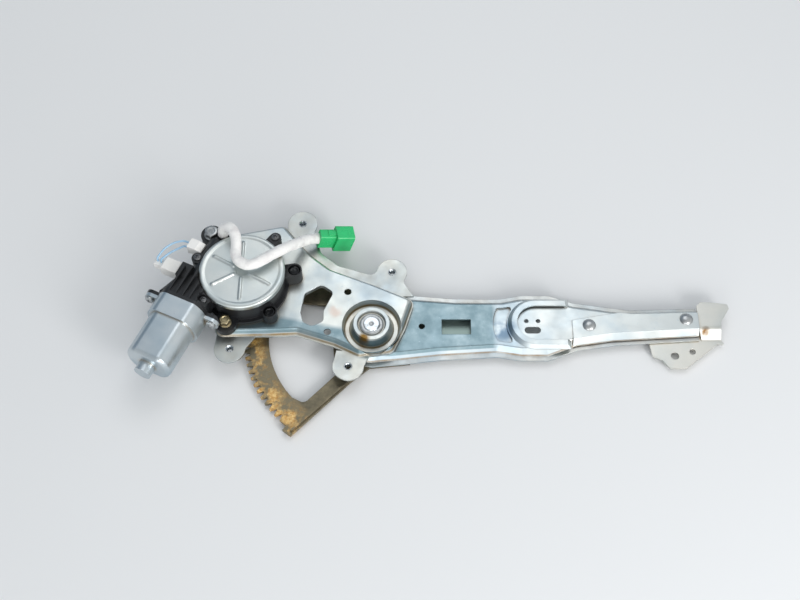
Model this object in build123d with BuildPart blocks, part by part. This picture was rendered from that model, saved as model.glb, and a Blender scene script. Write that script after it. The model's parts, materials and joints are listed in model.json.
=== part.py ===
from build123d import *
from math import atan2, cos, degrees, hypot, pi, radians, sin, tan
import os

os.makedirs("parts", exist_ok=True)

# A vehicle window regulator of the single-arm kind. A worm motor turns a pinion,
# the pinion turns a toothed sector, and the sector swings the lift arm.
# Origin: on the arm's pivot axis, at the lower face of the pivot pin's head.
# X runs from the pivot along the arm, Z runs up through the pivot. Millimetres.

# ---------------------------------------------------------------- driving sizes
# Sheet gauges
plate_gauge = 1.6
arm_gauge = 1.6
sector_gauge = 2.5
can_wall = 1.4
cover_gauge = 1.2

# Clearances
running_gap = 0.1          # faces and bores that turn on each other
part_gap = 0.3             # moving bodies that only pass each other
seat_gap = 0.05            # a shank in its hole

# Sector and drive pinion
sector_module = 2.0
sector_teeth = 102         # of the whole circle that the sector is cut from
pinion_teeth = 8
gear_shift = 0.2           # added to the pinion, taken off the sector
gear_play = 0.25
pressure = radians(20)
mesh_turn = 1.29           # degrees between the nearest sector gap and the line of centres
sector_from = 148.5        # first and last direction of the toothed rim, degrees
sector_to = 229.0
rim_width = 20.0
pinion_length = 10.5
output_shaft_d = 9.0

# Worm and wheel
worm_module = 0.9
wheel_teeth = 56
worm_pitch_r = 5.0
worm_length = 20.0
wheel_width = 7.0
worm_play = 0.5
worm_tip_gap = 0.2

# Where the motor stands
wheel_direction = 160.4    # from the pivot to the pinion's axis, degrees
can_direction = 245.4      # the way the motor can points, degrees
worm_height = 33.0         # of the motor's axis

# Pivot
pin_d = 12.0
pin_head_d = 20.0
pin_head_height = 2.4
pin_neck_d = 9.0
peen_d = 15.0
peen_height = 1.8
bush_d = 22.0
washer_thickness = 0.8
washer_inner_r = 17.5
washer_outer_r = 21.0

# Lift arm
arm_depth = 6.0            # height of its channel
arm_lip = 2.6
arm_slope = 36.0           # of the channel's walls from upright, degrees
arm_root_r = 29.5
arm_tip_x = 264.5          # where the channel is cut off open
arm_reach_x = 272.0
eye_x = 133.0              # centre of the raised eye
eye_y = 6.0
eye_r = 23.0
eye_height = 3.4
eye_pocket_r = 15.5
eye_end_x = 160.0
moat_r = 36.5              # of the sunken crescent beside the eye
moat_depth = 2.2
arm_bend = 1.6             # rounding of the floor's edges
slot_x = 68.3
slot_y = 3.6
slot_length = 23.5
slot_width = 13.7

# Base plate
plate_depth = 6.1          # from its ears up to its panel
plate_slope = 27.0
plate_bend = 2.0           # rounding of its upper crease
window_collar = 2.6        # how far the window's edge is drawn down
ear_r = 12.5
ear_hole_d = 6.6
groove_outer_r = 24.0
groove_inner_r = 21.2
groove_land_r = 18.0
crest_outer_r = 14.5
crest_inner_r = 11.6
crater_r = 10.6
crest_height = 4.0         # over the panel
crater_drop = 2.5          # under the crest
boss_bend = 1.2
weld_nut_d = 12.0
weld_nut_height = 5.0
nut_bore_d = 5.0
nut_relief = 0.6           # how far the thread starts below the face that is welded

# Gear housing and cover
case_rim = 5.4             # from the wheel's pocket to the outside of the case
housing_wall = 2.5
housing_height = 22.0
cover_overhang = 1.5
cover_rise = 3.0
cover_skirt = 5.0
cover_ribs = 6
rib_height = 1.0
rib_width = 3.4
rib_from = 6.0
rib_to = 27.5
neck_bore_r = 7.0
flange_at = 45.0           # along the motor's axis, from the worm's middle
flange_thickness = 3.0
lug_r = 5.6

# Motor can
can_r = 19.0
can_flat = 15.5
can_wide_r = 22.0
can_wide_flat = 17.5
can_wide_length = 17.0
can_length = 55.0
can_boss_r = 7.0
can_boss_length = 8.0
can_edge = 6.0             # rounding between its sides and its flats
can_end_edge = 4.0
can_screw_r = 2.05
can_screw_head_r = 4.0
can_screw_head = 2.8
can_screw_room = 1.6       # between a screw's head and the can's side
shaft_d = 5.0

# ---------------------------------------------------------------- levels and places
sector_bottom = pin_head_height + running_gap
sector_top = sector_bottom + sector_gauge
arm_floor_bottom = sector_top + arm_depth
arm_floor_top = arm_floor_bottom + arm_gauge
washer_bottom = arm_floor_top + running_gap
ear_bottom = washer_bottom + washer_thickness
ear_top = ear_bottom + plate_gauge
panel_bottom = ear_bottom + plate_depth
panel_top = panel_bottom + plate_gauge
crest_top = panel_top + crest_height
crater_top = crest_top - crater_drop
crater_bottom = crater_top - plate_gauge
housing_top = panel_top + housing_height
cover_top = housing_top + cover_rise

sector_r = sector_module * sector_teeth / 2
pinion_r = sector_module * pinion_teeth / 2
gear_distance = sector_r + pinion_r
wheel_x = gear_distance * cos(radians(wheel_direction))
wheel_y = gear_distance * sin(radians(wheel_direction))

wheel_r = worm_module * wheel_teeth / 2
worm_distance = wheel_r + worm_pitch_r
wheel_pocket_r = wheel_r + worm_module + 1.5
housing_r = wheel_pocket_r + case_rim
cover_r = housing_r + cover_overhang
lug_reach = can_wide_r + can_screw_head_r + can_screw_room
worm_side = can_direction - 90
worm_x = wheel_x + worm_distance * cos(radians(worm_side))
worm_y = wheel_y + worm_distance * sin(radians(worm_side))
motor_way = (cos(radians(can_direction)), sin(radians(can_direction)), 0)
motor_across = (-cos(radians(worm_side)), -sin(radians(worm_side)), 0)


def motor_plane(along):
    """A plane square to the motor's axis: x towards the wheel, y up, z towards the can's end."""
    origin = Vector(worm_x, worm_y, worm_height) + Vector(*motor_way) * along
    return Plane(origin=origin, x_dir=motor_across, z_dir=motor_way)


def wheel_plane(height):
    """A level plane on the pinion's axis."""
    return Plane.XY.move(Location((wheel_x, wheel_y, height)))


def around_wheel(radius, angle):
    """A place around the pinion's axis."""
    return (wheel_x + radius * cos(radians(angle)), wheel_y + radius * sin(radians(angle)))


def involute(angle):
    """The involute function of a pressure angle in radians."""
    return tan(angle) - angle


def tooth_gap(module, teeth, shift, play, steps=3):
    """The space between two teeth, centred on +X, from the root circle out past the tips."""
    pitch_r = module * teeth / 2
    base_r = pitch_r * cos(pressure)
    root_r = pitch_r - (1.25 - shift) * module
    outer_r = pitch_r + (1.2 + shift) * module
    half_tooth = (pi / 2 + 2 * shift * tan(pressure)) / teeth - play / (2 * pitch_r)
    foot_r = max(base_r, root_r)
    flank = []
    for step in range(steps + 1):
        radius = foot_r + (outer_r - foot_r) * step / steps
        roll = pi / 2 - atan2(base_r, max(radius ** 2 - base_r ** 2, 0) ** 0.5)
        angle = pi / teeth - half_tooth - involute(pressure) + involute(roll)
        flank.append((radius * cos(angle), radius * sin(angle)))
    foot_angle = atan2(flank[0][1], flank[0][0])
    root = (root_r * cos(foot_angle), root_r * sin(foot_angle))
    with BuildSketch() as gap:
        with BuildLine():
            if steps > 1:
                Spline(*flank)
                Spline(*[(x, -y) for x, y in flank])
            else:
                Polyline(*flank)
                Polyline(*[(x, -y) for x, y in flank])
            mouth = (outer_r + module, flank[-1][1])
            Polyline(flank[-1], mouth, (mouth[0], -mouth[1]), (flank[-1][0], -flank[-1][1]))
            if foot_r > root_r:
                Line(flank[0], root)
                Line((flank[0][0], -flank[0][1]), (root[0], -root[1]))
            ThreePointArc(root, (root_r, 0), (root[0], -root[1]))
        make_face()
    return gap.sketch


# ---------------------------------------------------------------- base plate
ear_holes = [(-113.1, -17.5), (-18.3, -33.2), (-59.5, 101.5), (16.2, 53.8)]
mount_angle = [125.0, 251.7, 10.4, 307.6]
mount_reach = [housing_r + out for out in (15.9, 6.5, 8.5, 3.7)]
mount_tops = [36.0, 27.0, 34.0, 31.0]
mount_r = [9.0, 8.5, 6.2, 6.2]
mount_sink = [0, 0, 7.0, 7.0]      # how deep each bolt's head sits in its post
mount_seats = [top - sink for top, sink in zip(mount_tops, mount_sink)]
mount_places = [around_wheel(reach, angle) for reach, angle in zip(mount_reach, mount_angle)]
bolt_d = 6.0
bolt_across = [10.0, 8.0, 8.0, 8.0]
bolt_head = 6.0
wall_run = plate_gauge / cos(radians(plate_slope))

def window_outline():
    """The lightening window between the motor and the pivot."""
    with BuildSketch() as outline:
        with BuildLine():
            Polyline(
                (-57.5, 12), (-54.5, 30), (-41, 38), (-31, 31), (-39, 13), (-38.5, 4), (-48, -0.5),
                (-55, 3), close=True,
            )
        make_face()
        fillet(outline.vertices(), 4.5)
    return outline.sketch


with BuildPart() as base_plate:
    # The pressed panel: its sloping wall stands on this outline
    with BuildSketch(Plane.XY.offset(ear_bottom)) as plate_foot:
        with BuildLine():
            Polyline(
                (17, -22), (27, 0), (35, 26), (0, 42), (-34, 56), (-52, 71), (-74, 99),
                (-126, 88), (-142, 80), (-145, 60), (-128, 28), (-125, -8), (-81, -7), (-60, -6),
                (-30, -16), (-10, -26), close=True,
            )
        make_face()
        fillet(plate_foot.vertices(), 7)
    extrude(amount=panel_top - ear_bottom, taper=plate_slope)
    fillet(base_plate.edges().group_by(Axis.Z)[-1], plate_bend)
    with BuildSketch(Plane.XY.offset(ear_bottom)) as plate_hollow:
        add(offset(plate_foot.sketch.moved(Location((0, 0, 0))), amount=-wall_run, mode=Mode.PRIVATE))
    extrude(amount=panel_bottom - ear_bottom, taper=plate_slope, mode=Mode.SUBTRACT)
    # The flange and its four ears
    with BuildSketch(Plane.XY.offset(ear_bottom)) as plate_flange:
        with BuildLine():
            Polyline(
                (34, 30.5), (27, 42), (5, 49), (-29, 60), (-43, 72), (-49, 92), (-72, 98),
                (-60, 60), (0, 30), close=True,
            )
        make_face()
        # The two lower ears stand on bands that widen to the panel
        for (ear_x, ear_y), root_left, root_right in zip(ear_holes, (-124, -28), (-92, 0)):
            with BuildLine():
                Polyline(
                    (ear_x - ear_r, ear_y), (root_left, ear_y + 14), (root_right, ear_y + 12),
                    (ear_x + ear_r, ear_y), close=True,
                )
            make_face()
        with Locations(*ear_holes):
            Circle(ear_r)
        offset(amount=6)
        offset(amount=-6)
        add(plate_foot.sketch)
        add(plate_hollow.sketch, mode=Mode.SUBTRACT)
    extrude(amount=plate_gauge)
    # The ringed boss round the pivot
    with BuildSketch(Plane.XY.offset(ear_bottom)):
        Circle(groove_outer_r - 0.4)
    extrude(amount=panel_top + crest_height, mode=Mode.SUBTRACT)
    with BuildSketch(Plane.XZ) as boss_profile:
        with BuildLine():
            Polyline(
                (groove_outer_r, panel_top),
                (groove_inner_r, ear_top),
                (groove_land_r, ear_top),
                (crest_outer_r, crest_top),
                (crest_inner_r, crest_top),
                (crater_r, crater_top),
                (pin_neck_d / 2 + seat_gap, crater_top),
                (pin_neck_d / 2 + seat_gap, crater_bottom),
                (crater_r + 1.2, crater_bottom),
                (crest_inner_r + 1.0, crest_top - plate_gauge),
                (crest_outer_r - 0.9, crest_top - plate_gauge),
                (groove_land_r - 1.0, ear_bottom),
                (groove_inner_r + 1.0, ear_bottom),
                (groove_outer_r - 0.5, panel_bottom),
                close=True,
            )
        make_face()
        pressed = boss_profile.vertices().filter_by(lambda v: crater_r < v.X < groove_outer_r - 1)
        fillet(pressed.filter_by(lambda v: v.Z > ear_top - 0.1), boss_bend)
    revolve(axis=Axis.Z)
    # The window, its edge drawn down into a collar
    with BuildSketch(Plane.XY.offset(panel_bottom - window_collar)):
        add(offset(window_outline(), amount=plate_gauge, mode=Mode.PRIVATE))
    extrude(amount=window_collar)
    # Openings
    with BuildSketch(Plane.XY.offset(ear_bottom)):
        add(window_outline())
        with Locations((-19.6, 31.3), (-35.2, -5.7)):
            Circle(2.9)
        with Locations((wheel_x, wheel_y)):
            Circle(12.5)
        with Locations(*mount_places):
            Circle(bolt_d / 2 + seat_gap)
        with Locations(*ear_holes):
            Circle(ear_hole_d / 2)
    extrude(amount=plate_depth + plate_gauge, mode=Mode.SUBTRACT)
base_plate.part.label = "base_plate"
export_step(base_plate.part, "parts/base_plate.step")

with BuildPart() as weld_nuts:
    with BuildSketch(Plane.XY.offset(ear_bottom)):
        with Locations(*ear_holes):
            Circle(weld_nut_d / 2)
            Circle(nut_bore_d / 2, mode=Mode.SUBTRACT)
    extrude(amount=-weld_nut_height)
    with BuildSketch(Plane.XY.offset(ear_bottom)):
        with Locations(*ear_holes):
            Circle(ear_hole_d / 2)
    extrude(amount=-nut_relief, mode=Mode.SUBTRACT)
weld_nuts.part.label = "weld_nuts"
export_step(weld_nuts.part, "parts/weld_nuts.step")

# ---------------------------------------------------------------- pivot
with BuildPart() as pivot_pin:
    with BuildSketch(Plane.XZ) as pin_profile:
        with BuildLine():
            Polyline(
                (0, 0),
                (pin_head_d / 2 - 1, 0),
                (pin_head_d / 2, 0.8),
                (pin_head_d / 2, pin_head_height),
                (pin_d / 2, pin_head_height),
                (pin_d / 2, crater_bottom),
                (pin_neck_d / 2, crater_bottom),
                (pin_neck_d / 2, crater_top),
                (peen_d / 2, crater_top),
                (peen_d / 2 - 1.6, crater_top + peen_height),
                (2.2, crater_top + peen_height),
                (1.4, crater_top + peen_height - 1),
                (0, crater_top + peen_height - 1),
                close=True,
            )
        make_face()
    revolve(axis=Axis.Z)
pivot_pin.part.label = "pivot_pin"
export_step(pivot_pin.part, "parts/pivot_pin.step")

with BuildPart() as pivot_washer:
    with BuildSketch(Plane.XY.offset(washer_bottom)):
        Circle(washer_outer_r)
        Circle(washer_inner_r, mode=Mode.SUBTRACT)
    extrude(amount=washer_thickness)
pivot_washer.part.label = "pivot_washer"
export_step(pivot_washer.part, "parts/pivot_washer.step")

bush_bore_r = pin_d / 2 + running_gap / 2

with BuildPart() as pivot_bush:
    with BuildSketch(Plane.XY.offset(sector_top)):
        Circle(bush_d / 2)
        Circle(bush_bore_r, mode=Mode.SUBTRACT)
    extrude(amount=arm_floor_bottom - sector_top)
pivot_bush.part.label = "pivot_bush"
export_step(pivot_bush.part, "parts/pivot_bush.step")

# ---------------------------------------------------------------- toothed sector
sector_tip_r = sector_r + (1 - gear_shift) * sector_module
rim_r = sector_tip_r - rim_width
tooth_step = 360 / sector_teeth
stop_from = sector_to + 1.5
stop_to = sector_to + 6.0
stop_r = sector_tip_r + 4.6


def polar(radius, angle):
    """A point at a radius and a direction from the pivot."""
    return (radius * cos(radians(angle)), radius * sin(radians(angle)))


first_gap = round((sector_from - wheel_direction) / tooth_step)
gap_count = int((sector_to - sector_from) / tooth_step)

edge_start = Vector(*polar(stop_r - 3, stop_to - 0.6))
edge_end = Vector(-17.5, -42.6)
edge_length = (edge_end - edge_start).length
edge_gauge = 1.6
edge_height = 2.4
edge_way = (edge_end - edge_start).normalized()
edge_plane = Plane(origin=(edge_start.X, edge_start.Y, sector_top), x_dir=edge_way, z_dir=(0, 0, 1))

with BuildPart() as sector_gear:
    with BuildSketch(Plane.XY.offset(sector_bottom)) as sector_outline:
        with BuildLine():
            Line((31, 36), polar(sector_tip_r, sector_from))
            ThreePointArc(
                polar(sector_tip_r, sector_from),
                polar(sector_tip_r, (sector_from + sector_to) / 2),
                polar(sector_tip_r, stop_from),
            )
            Line(polar(sector_tip_r, stop_from), polar(stop_r, stop_from))
            ThreePointArc(polar(stop_r, stop_from), polar(stop_r, stop_from + 2), polar(stop_r, stop_to))
            Polyline(polar(stop_r, stop_to), (-16.6, -42.3), (-1.4, -arm_root_r), (31, -26))
            Line((31, -26), (31, 36))
        make_face()
        with Locations((42, 3)):
            RectangleRounded(86, 24, 4)
        # The opening between the two spokes
        with BuildLine():
            Polyline((-28.6, -36.1), (-34.8, 27.2), polar(rim_r, 156.6))
            ThreePointArc(polar(rim_r, 156.6), polar(rim_r, 190), polar(rim_r, 222))
            Polyline(polar(rim_r, 222), (-52.5, -60.8), (-28.6, -36.1))
        make_face(mode=Mode.SUBTRACT)
        fillet(sector_outline.vertices().filter_by(lambda v: abs(v.X + 52.5) < 0.1), 5)
        Circle(bush_bore_r, mode=Mode.SUBTRACT)
        # The teeth
        gaps = tooth_gap(sector_module, sector_teeth, -gear_shift, gear_play)
        with PolarLocations(
            0, gap_count, wheel_direction + mesh_turn + first_gap * tooth_step, gap_count * tooth_step
        ):
            add(gaps, mode=Mode.SUBTRACT)
    extrude(amount=sector_gauge)
    # The stiffening edge turned up along the lower spoke
    with BuildSketch(edge_plane):
        with Locations((edge_length / 2, 0.9)):
            Rectangle(edge_length, edge_gauge)
    extrude(amount=edge_height)
sector_gear.part.label = "sector_gear"
export_step(sector_gear.part, "parts/sector_gear.step")

# ---------------------------------------------------------------- lift arm
rivet_places = [(175.5, 4.5), (254.5, 9.8)]
rivet_shank_r = 3.0
bracket_gauge = 2.0
bracket_bottom = sector_top - bracket_gauge
arm_wall_run = arm_gauge / cos(radians(arm_slope))


def arm_outline(inset):
    """The outline of the arm's lips, drawn in by an inset."""
    with BuildSketch() as outline:
        Circle(arm_root_r)
        with BuildLine():
            Polyline(
                (0, -29.4), (23, -27.4), (55, -23.6), (101, -20.7), (120, -24), (142, -24), (165, -14.8),
                (195, -10.2), (arm_reach_x, -5.4), (arm_reach_x, 23.7), (211, 22), (165, 29), (145, 36),
                (121, 36), (105, 32.6), (68, 32.9), (31, 36), (-8, 28), close=True,
            )
        make_face()
        offset(amount=9)
        offset(amount=-18)
        offset(amount=9)
        if inset:
            offset(amount=-inset)
    return outline.sketch


def eye_outline(radius, end):
    """A D shape: round towards the pivot, straight sides out to its end."""
    with BuildSketch() as outline:
        with Locations((eye_x, eye_y)):
            Circle(radius)
        with Locations(((eye_x + end) / 2, eye_y)):
            Rectangle(end - eye_x, 2 * radius)
    return outline.sketch


def moat_outline(inset):
    """A crescent on the arm's floor between the eye and a wider circle, drawn in by an inset."""
    floor_inset = arm_lip + (arm_floor_top - sector_top) * tan(radians(arm_slope))
    with BuildSketch() as outline:
        with Locations((eye_x, eye_y)):
            Circle(moat_r - inset)
        with Locations((eye_x, eye_y)):
            Circle(eye_r + inset / 2, mode=Mode.SUBTRACT)
        with Locations((eye_x - 20 - moat_r / 2, eye_y)):
            Rectangle(moat_r, 2 * moat_r, mode=Mode.INTERSECT)
        add(arm_outline(floor_inset + arm_bend + inset), mode=Mode.INTERSECT)
        fillet(outline.vertices(), 2)
    return outline.sketch


with BuildPart() as lift_arm:
    with BuildSketch(Plane.XY.offset(sector_top)):
        add(arm_outline(0))
    extrude(amount=arm_gauge)
    with BuildSketch(Plane.XY.offset(sector_top)):
        add(arm_outline(arm_lip))
    extrude(amount=arm_floor_top - sector_top, taper=arm_slope)
    fillet(lift_arm.edges().group_by(Axis.Z)[-1], arm_bend)
    # The raised eye
    with BuildSketch(Plane.XY.offset(arm_floor_top)):
        add(eye_outline(eye_r, eye_end_x))
    extrude(amount=eye_height, taper=40)
    with BuildSketch(Plane.XY.offset(sector_top)):
        add(arm_outline(arm_lip + arm_wall_run))
    extrude(amount=arm_floor_bottom - sector_top, taper=arm_slope, mode=Mode.SUBTRACT)
    with BuildSketch(Plane.XY.offset(arm_floor_bottom)):
        add(eye_outline(eye_r - arm_gauge, eye_end_x - arm_gauge))
    extrude(amount=eye_height, taper=40, mode=Mode.SUBTRACT)
    with BuildSketch(Plane.XY.offset(arm_floor_top)):
        add(eye_outline(eye_pocket_r, eye_end_x + 3))
    extrude(amount=eye_height, mode=Mode.SUBTRACT)
    with BuildSketch(Plane.XY.offset(arm_floor_bottom)):
        add(eye_outline(eye_pocket_r + arm_gauge, eye_end_x - arm_gauge))
    extrude(amount=arm_gauge)
    # The sunken crescent on the eye's inner side
    with BuildSketch(Plane.XY.offset(arm_floor_bottom - moat_depth)):
        add(moat_outline(0))
    extrude(amount=moat_depth)
    with BuildSketch(Plane.XY.offset(arm_floor_top - moat_depth)):
        add(moat_outline(arm_gauge))
    extrude(amount=moat_depth, mode=Mode.SUBTRACT)
    # Holes
    with BuildSketch(Plane.XY.offset(arm_floor_bottom)):
        Circle(bush_bore_r)
        with Locations((40.4, 4)):
            Circle(2.5)
        with Locations((slot_x, slot_y)):
            Rectangle(slot_length, slot_width)
        with Locations((125.1, 8.9), (134.6, 8.9)):
            Circle(1.8)
        with Locations((129.9, 0.5)):
            SlotOverall(13, 6)
        with Locations(*rivet_places):
            Circle(rivet_shank_r + seat_gap)
    extrude(amount=arm_gauge, mode=Mode.SUBTRACT)
    split(bisect_by=Plane.YZ.offset(arm_tip_x), keep=Keep.BOTTOM)
lift_arm.part.label = "lift_arm"
export_step(lift_arm.part, "parts/lift_arm.step")

cap_from = 162.0
cap_shoulder = (214, 18.4)  # where its straight edge meets the arm's side
cap_inner_y = 9.2
cap_gap = 0.1
cap_gauge = 1.4
cap_slope_drop = 4.0       # how far its walls come down over the arm's
cap_top = arm_floor_top + cap_gauge

cap_base = arm_floor_top - cap_slope_drop
run_down = (arm_floor_top - sector_top - cap_slope_drop) * tan(radians(arm_slope))
fit_run = cap_gap / cos(radians(arm_slope))
cap_run = cap_gauge / cos(radians(arm_slope))

with BuildPart() as arm_cap:
    # A hat that fits over the arm's outer half
    with BuildSketch(Plane.XY.offset(cap_base)):
        add(arm_outline(arm_lip + run_down - fit_run - cap_run))
    extrude(amount=cap_top - cap_base, taper=arm_slope)
    with BuildSketch(Plane.XY.offset(cap_base)):
        add(arm_outline(arm_lip + run_down - fit_run))
    extrude(amount=arm_floor_top - cap_base, taper=arm_slope, mode=Mode.SUBTRACT)
    with BuildSketch(Plane.XY.offset(cap_base)):
        # Its inner end is narrower than the arm, with a straight edge
        with BuildLine():
            Polyline(
                (cap_from, -arm_root_r), (cap_from, cap_inner_y), cap_shoulder, (cap_shoulder[0], arm_root_r),
                (arm_tip_x, arm_root_r), (arm_tip_x, -arm_root_r), close=True,
            )
        make_face()
    extrude(amount=cap_top - cap_base, mode=Mode.INTERSECT)
    with BuildSketch(Plane.XY.offset(arm_floor_top)):
        with Locations(*rivet_places):
            Circle(rivet_shank_r + seat_gap)
    extrude(amount=cap_gauge, mode=Mode.SUBTRACT)
arm_cap.part.label = "arm_cap"
export_step(arm_cap.part, "parts/arm_cap.step")

# Domed rivets through the cap and the arm, the outer one down to the bracket too
rivet_r = 5.5
rivet_dome = 2.6
rivet_tail = 1.2
rivet_tail_r = 5.0
rivet_collar_r = 4.5
with BuildPart() as arm_rivets:
    for place, bottom in zip(rivet_places, (arm_floor_bottom, bracket_bottom)):
        with BuildSketch(Plane.XY.offset(cap_top)):
            with Locations(place):
                Circle(rivet_r)
        extrude(amount=rivet_dome)
        dome_edges = arm_rivets.edges().group_by(Axis.Z)[-1]
        fillet(dome_edges.sort_by_distance((*place, cap_top + rivet_dome))[0], rivet_dome - 0.3)
        with BuildSketch(Plane.XY.offset(bottom)):
            with Locations(place):
                Circle(rivet_shank_r)
        extrude(amount=cap_top - bottom)
        with BuildSketch(Plane.XY.offset(bottom - rivet_tail)):
            with Locations(place):
                Circle(rivet_tail_r)
        extrude(amount=rivet_tail)
    # The collar between the bracket's foot and the arm's floor
    with BuildSketch(Plane.XY.offset(sector_top)):
        with Locations(rivet_places[1]):
            Circle(rivet_collar_r)
    extrude(amount=arm_floor_bottom - sector_top)
arm_rivets.part.label = "arm_rivets"
export_step(arm_rivets.part, "parts/arm_rivets.step")

# ---------------------------------------------------------------- bracket at the arm's tip
tab_top = arm_floor_top - 1
bracket_hole = (243.9, -19.0)
bracket_hole_d = 6.5
bracket_small_hole = (258.5, -15.3)
bracket_small_hole_d = 5.0
tab_middle = tab_top - bracket_gauge / 2
foot_middle = bracket_bottom + bracket_gauge / 2

with BuildPart() as tip_bracket:
    # The sheet beyond the arm's end: an upper tab that bends down to the foot
    with BuildSketch(Plane.YZ.offset(arm_tip_x + part_gap)):
        with BuildLine():
            FilletPolyline((30, tab_middle), (4, tab_middle), (-5, foot_middle), (-12, foot_middle), radius=5)
        trace(line_width=bracket_gauge)
    extrude(amount=30)
    with BuildSketch(Plane.XY.offset(bracket_bottom)) as tab_outline:
        with BuildLine():
            Polyline(
                (arm_tip_x + part_gap, 23.5), (268, 27), (276, 27), (290, 25), (291, 21), (283, 8.5),
                (282.5, -4.5), (285.5, -9), (279.8, -8), (267.5, -8), (arm_tip_x + part_gap, 4), close=True,
            )
        make_face()
        fillet(tab_outline.vertices(), 0.8)
    extrude(amount=tab_top - bracket_bottom, mode=Mode.INTERSECT)
    # The foot under the arm's lips, with the lobe that carries the glass
    with BuildSketch(Plane.XY.offset(bracket_bottom)) as foot_outline:
        with BuildLine():
            Polyline(
                (224, 21), (224, -6), (226, -19.5), (233.5, -22.5), (239, -30), (252, -30), (279.8, -8),
                (272, 21), close=True,
            )
        make_face()
        fillet(foot_outline.vertices(), 2.5)
        with Locations(bracket_hole):
            Circle(bracket_hole_d / 2, mode=Mode.SUBTRACT)
        with Locations(bracket_small_hole):
            Circle(bracket_small_hole_d / 2, mode=Mode.SUBTRACT)
        with Locations(rivet_places[1]):
            Circle(rivet_shank_r + seat_gap, mode=Mode.SUBTRACT)
    extrude(amount=bracket_gauge)
tip_bracket.part.label = "tip_bracket"
export_step(tip_bracket.part, "parts/tip_bracket.step")

# ---------------------------------------------------------------- pinion and worm wheel
pinion_bottom = sector_bottom - 1.5
pinion_top = pinion_bottom + pinion_length
wheel_bottom = worm_height - wheel_width / 2
output_top = housing_top - 2.0

with BuildPart() as output_shaft:
    with BuildSketch(wheel_plane(0)):
        Circle(output_shaft_d / 2 - 1)
    extrude(amount=pinion_bottom)
    with BuildSketch(wheel_plane(pinion_bottom)):
        Circle(pinion_r + (1 + gear_shift) * sector_module)
        space = tooth_gap(sector_module, pinion_teeth, gear_shift, gear_play)
        first_space = wheel_direction + 180 + 180 / pinion_teeth - mesh_turn * sector_teeth / pinion_teeth
        with PolarLocations(0, pinion_teeth, first_space):
            add(space, mode=Mode.SUBTRACT)
    extrude(amount=pinion_length)
    with BuildSketch(wheel_plane(pinion_top)):
        Circle(output_shaft_d / 2)
    extrude(amount=output_top - pinion_top)
    # Flats that drive the wheel
    with BuildSketch(wheel_plane(wheel_bottom - 1)):
        with Locations((0, output_shaft_d / 2), (0, -output_shaft_d / 2)):
            Rectangle(output_shaft_d, 2)
    extrude(amount=wheel_width + 2, mode=Mode.SUBTRACT)
output_shaft.part.label = "output_shaft"
export_step(output_shaft.part, "parts/output_shaft.step")

with BuildPart() as worm_wheel:
    with BuildSketch(wheel_plane(wheel_bottom)):
        Circle(wheel_r + worm_module)
        space = tooth_gap(worm_module, wheel_teeth, 0, worm_play, 1)
        with PolarLocations(0, wheel_teeth, worm_side):
            add(space, mode=Mode.SUBTRACT)
        Circle(output_shaft_d / 2 + seat_gap, mode=Mode.SUBTRACT)
        flat_reach = output_shaft_d / 2 - 1 + seat_gap
        with Locations((0, flat_reach + 1), (0, -flat_reach - 1)):
            Rectangle(output_shaft_d, 2)
    extrude(amount=wheel_width)
    # Recesses in both faces leave a thin web between rim and hub
    for level in (wheel_bottom, wheel_bottom + wheel_width - 2):
        with BuildSketch(wheel_plane(level)):
            Circle(wheel_r - 4)
            Circle(9, mode=Mode.SUBTRACT)
        extrude(amount=2, mode=Mode.SUBTRACT)
worm_wheel.part.label = "worm_wheel"
export_step(worm_wheel.part, "parts/worm_wheel.step")

# ---------------------------------------------------------------- armature and worm
worm_root_r = worm_distance - (wheel_r + worm_module) - worm_tip_gap
worm_tip_r = worm_distance - (wheel_r - 1.25 * worm_module) - worm_tip_gap
worm_lead = pi * worm_module
shaft_from = -worm_length / 2 - 6
can_end = flange_at + can_length
shaft_to = can_end + can_boss_length - 3
core_r = 12.0
core_from = flange_at + 17.0
core_length = 24.0
commutator_r = 7.5
commutator_from = flange_at + 3.0
commutator_length = 10.0
thread_turns = int(worm_length / worm_lead / 2)

with BuildPart() as worm_thread:
    # Drawn along Z at the origin, then laid along the shaft
    with BuildLine() as thread_path:
        Helix(worm_lead, 2 * thread_turns * worm_lead, worm_root_r - 0.2)
    with BuildSketch(Plane(origin=thread_path.line @ 0, x_dir=(1, 0, 0), z_dir=thread_path.line % 0)):
        with BuildLine():
            Polyline(
                (0, -0.68), (0, 0.68), (worm_tip_r - worm_root_r + 0.2, 0.2),
                (worm_tip_r - worm_root_r + 0.2, -0.2), close=True,
            )
        make_face()
    sweep(path=thread_path.line, is_frenet=True)

with BuildPart() as armature_shaft:
    with BuildSketch(motor_plane(shaft_from)):
        Circle(shaft_d / 2)
    extrude(amount=shaft_to - shaft_from)
    with BuildSketch(motor_plane(-worm_length / 2 - 1)):
        Circle(worm_root_r)
    extrude(amount=worm_length + 2)
    add(worm_thread.part.moved(motor_plane(-thread_turns * worm_lead).location))
armature_shaft.part.label = "armature_shaft"
export_step(armature_shaft.part, "parts/armature_shaft.step")

armature_slots = 10
with BuildPart() as armature_core:
    with BuildSketch(motor_plane(core_from)):
        Circle(core_r)
        Circle(shaft_d / 2, mode=Mode.SUBTRACT)
        with PolarLocations(core_r - 3, armature_slots):
            SlotCenterToCenter(3, 2.4, mode=Mode.SUBTRACT)
        with PolarLocations(core_r, armature_slots):
            Rectangle(3, 1.0, mode=Mode.SUBTRACT)
    extrude(amount=core_length)
armature_core.part.label = "armature_core"
export_step(armature_core.part, "parts/armature_core.step")

with BuildPart() as armature_windings:
    for level in (core_from - 4, core_from + core_length):
        with BuildSketch(motor_plane(level)):
            Circle(core_r - 1)
            Circle(shaft_d / 2, mode=Mode.SUBTRACT)
        extrude(amount=4)
armature_windings.part.label = "armature_windings"
export_step(armature_windings.part, "parts/armature_windings.step")

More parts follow.
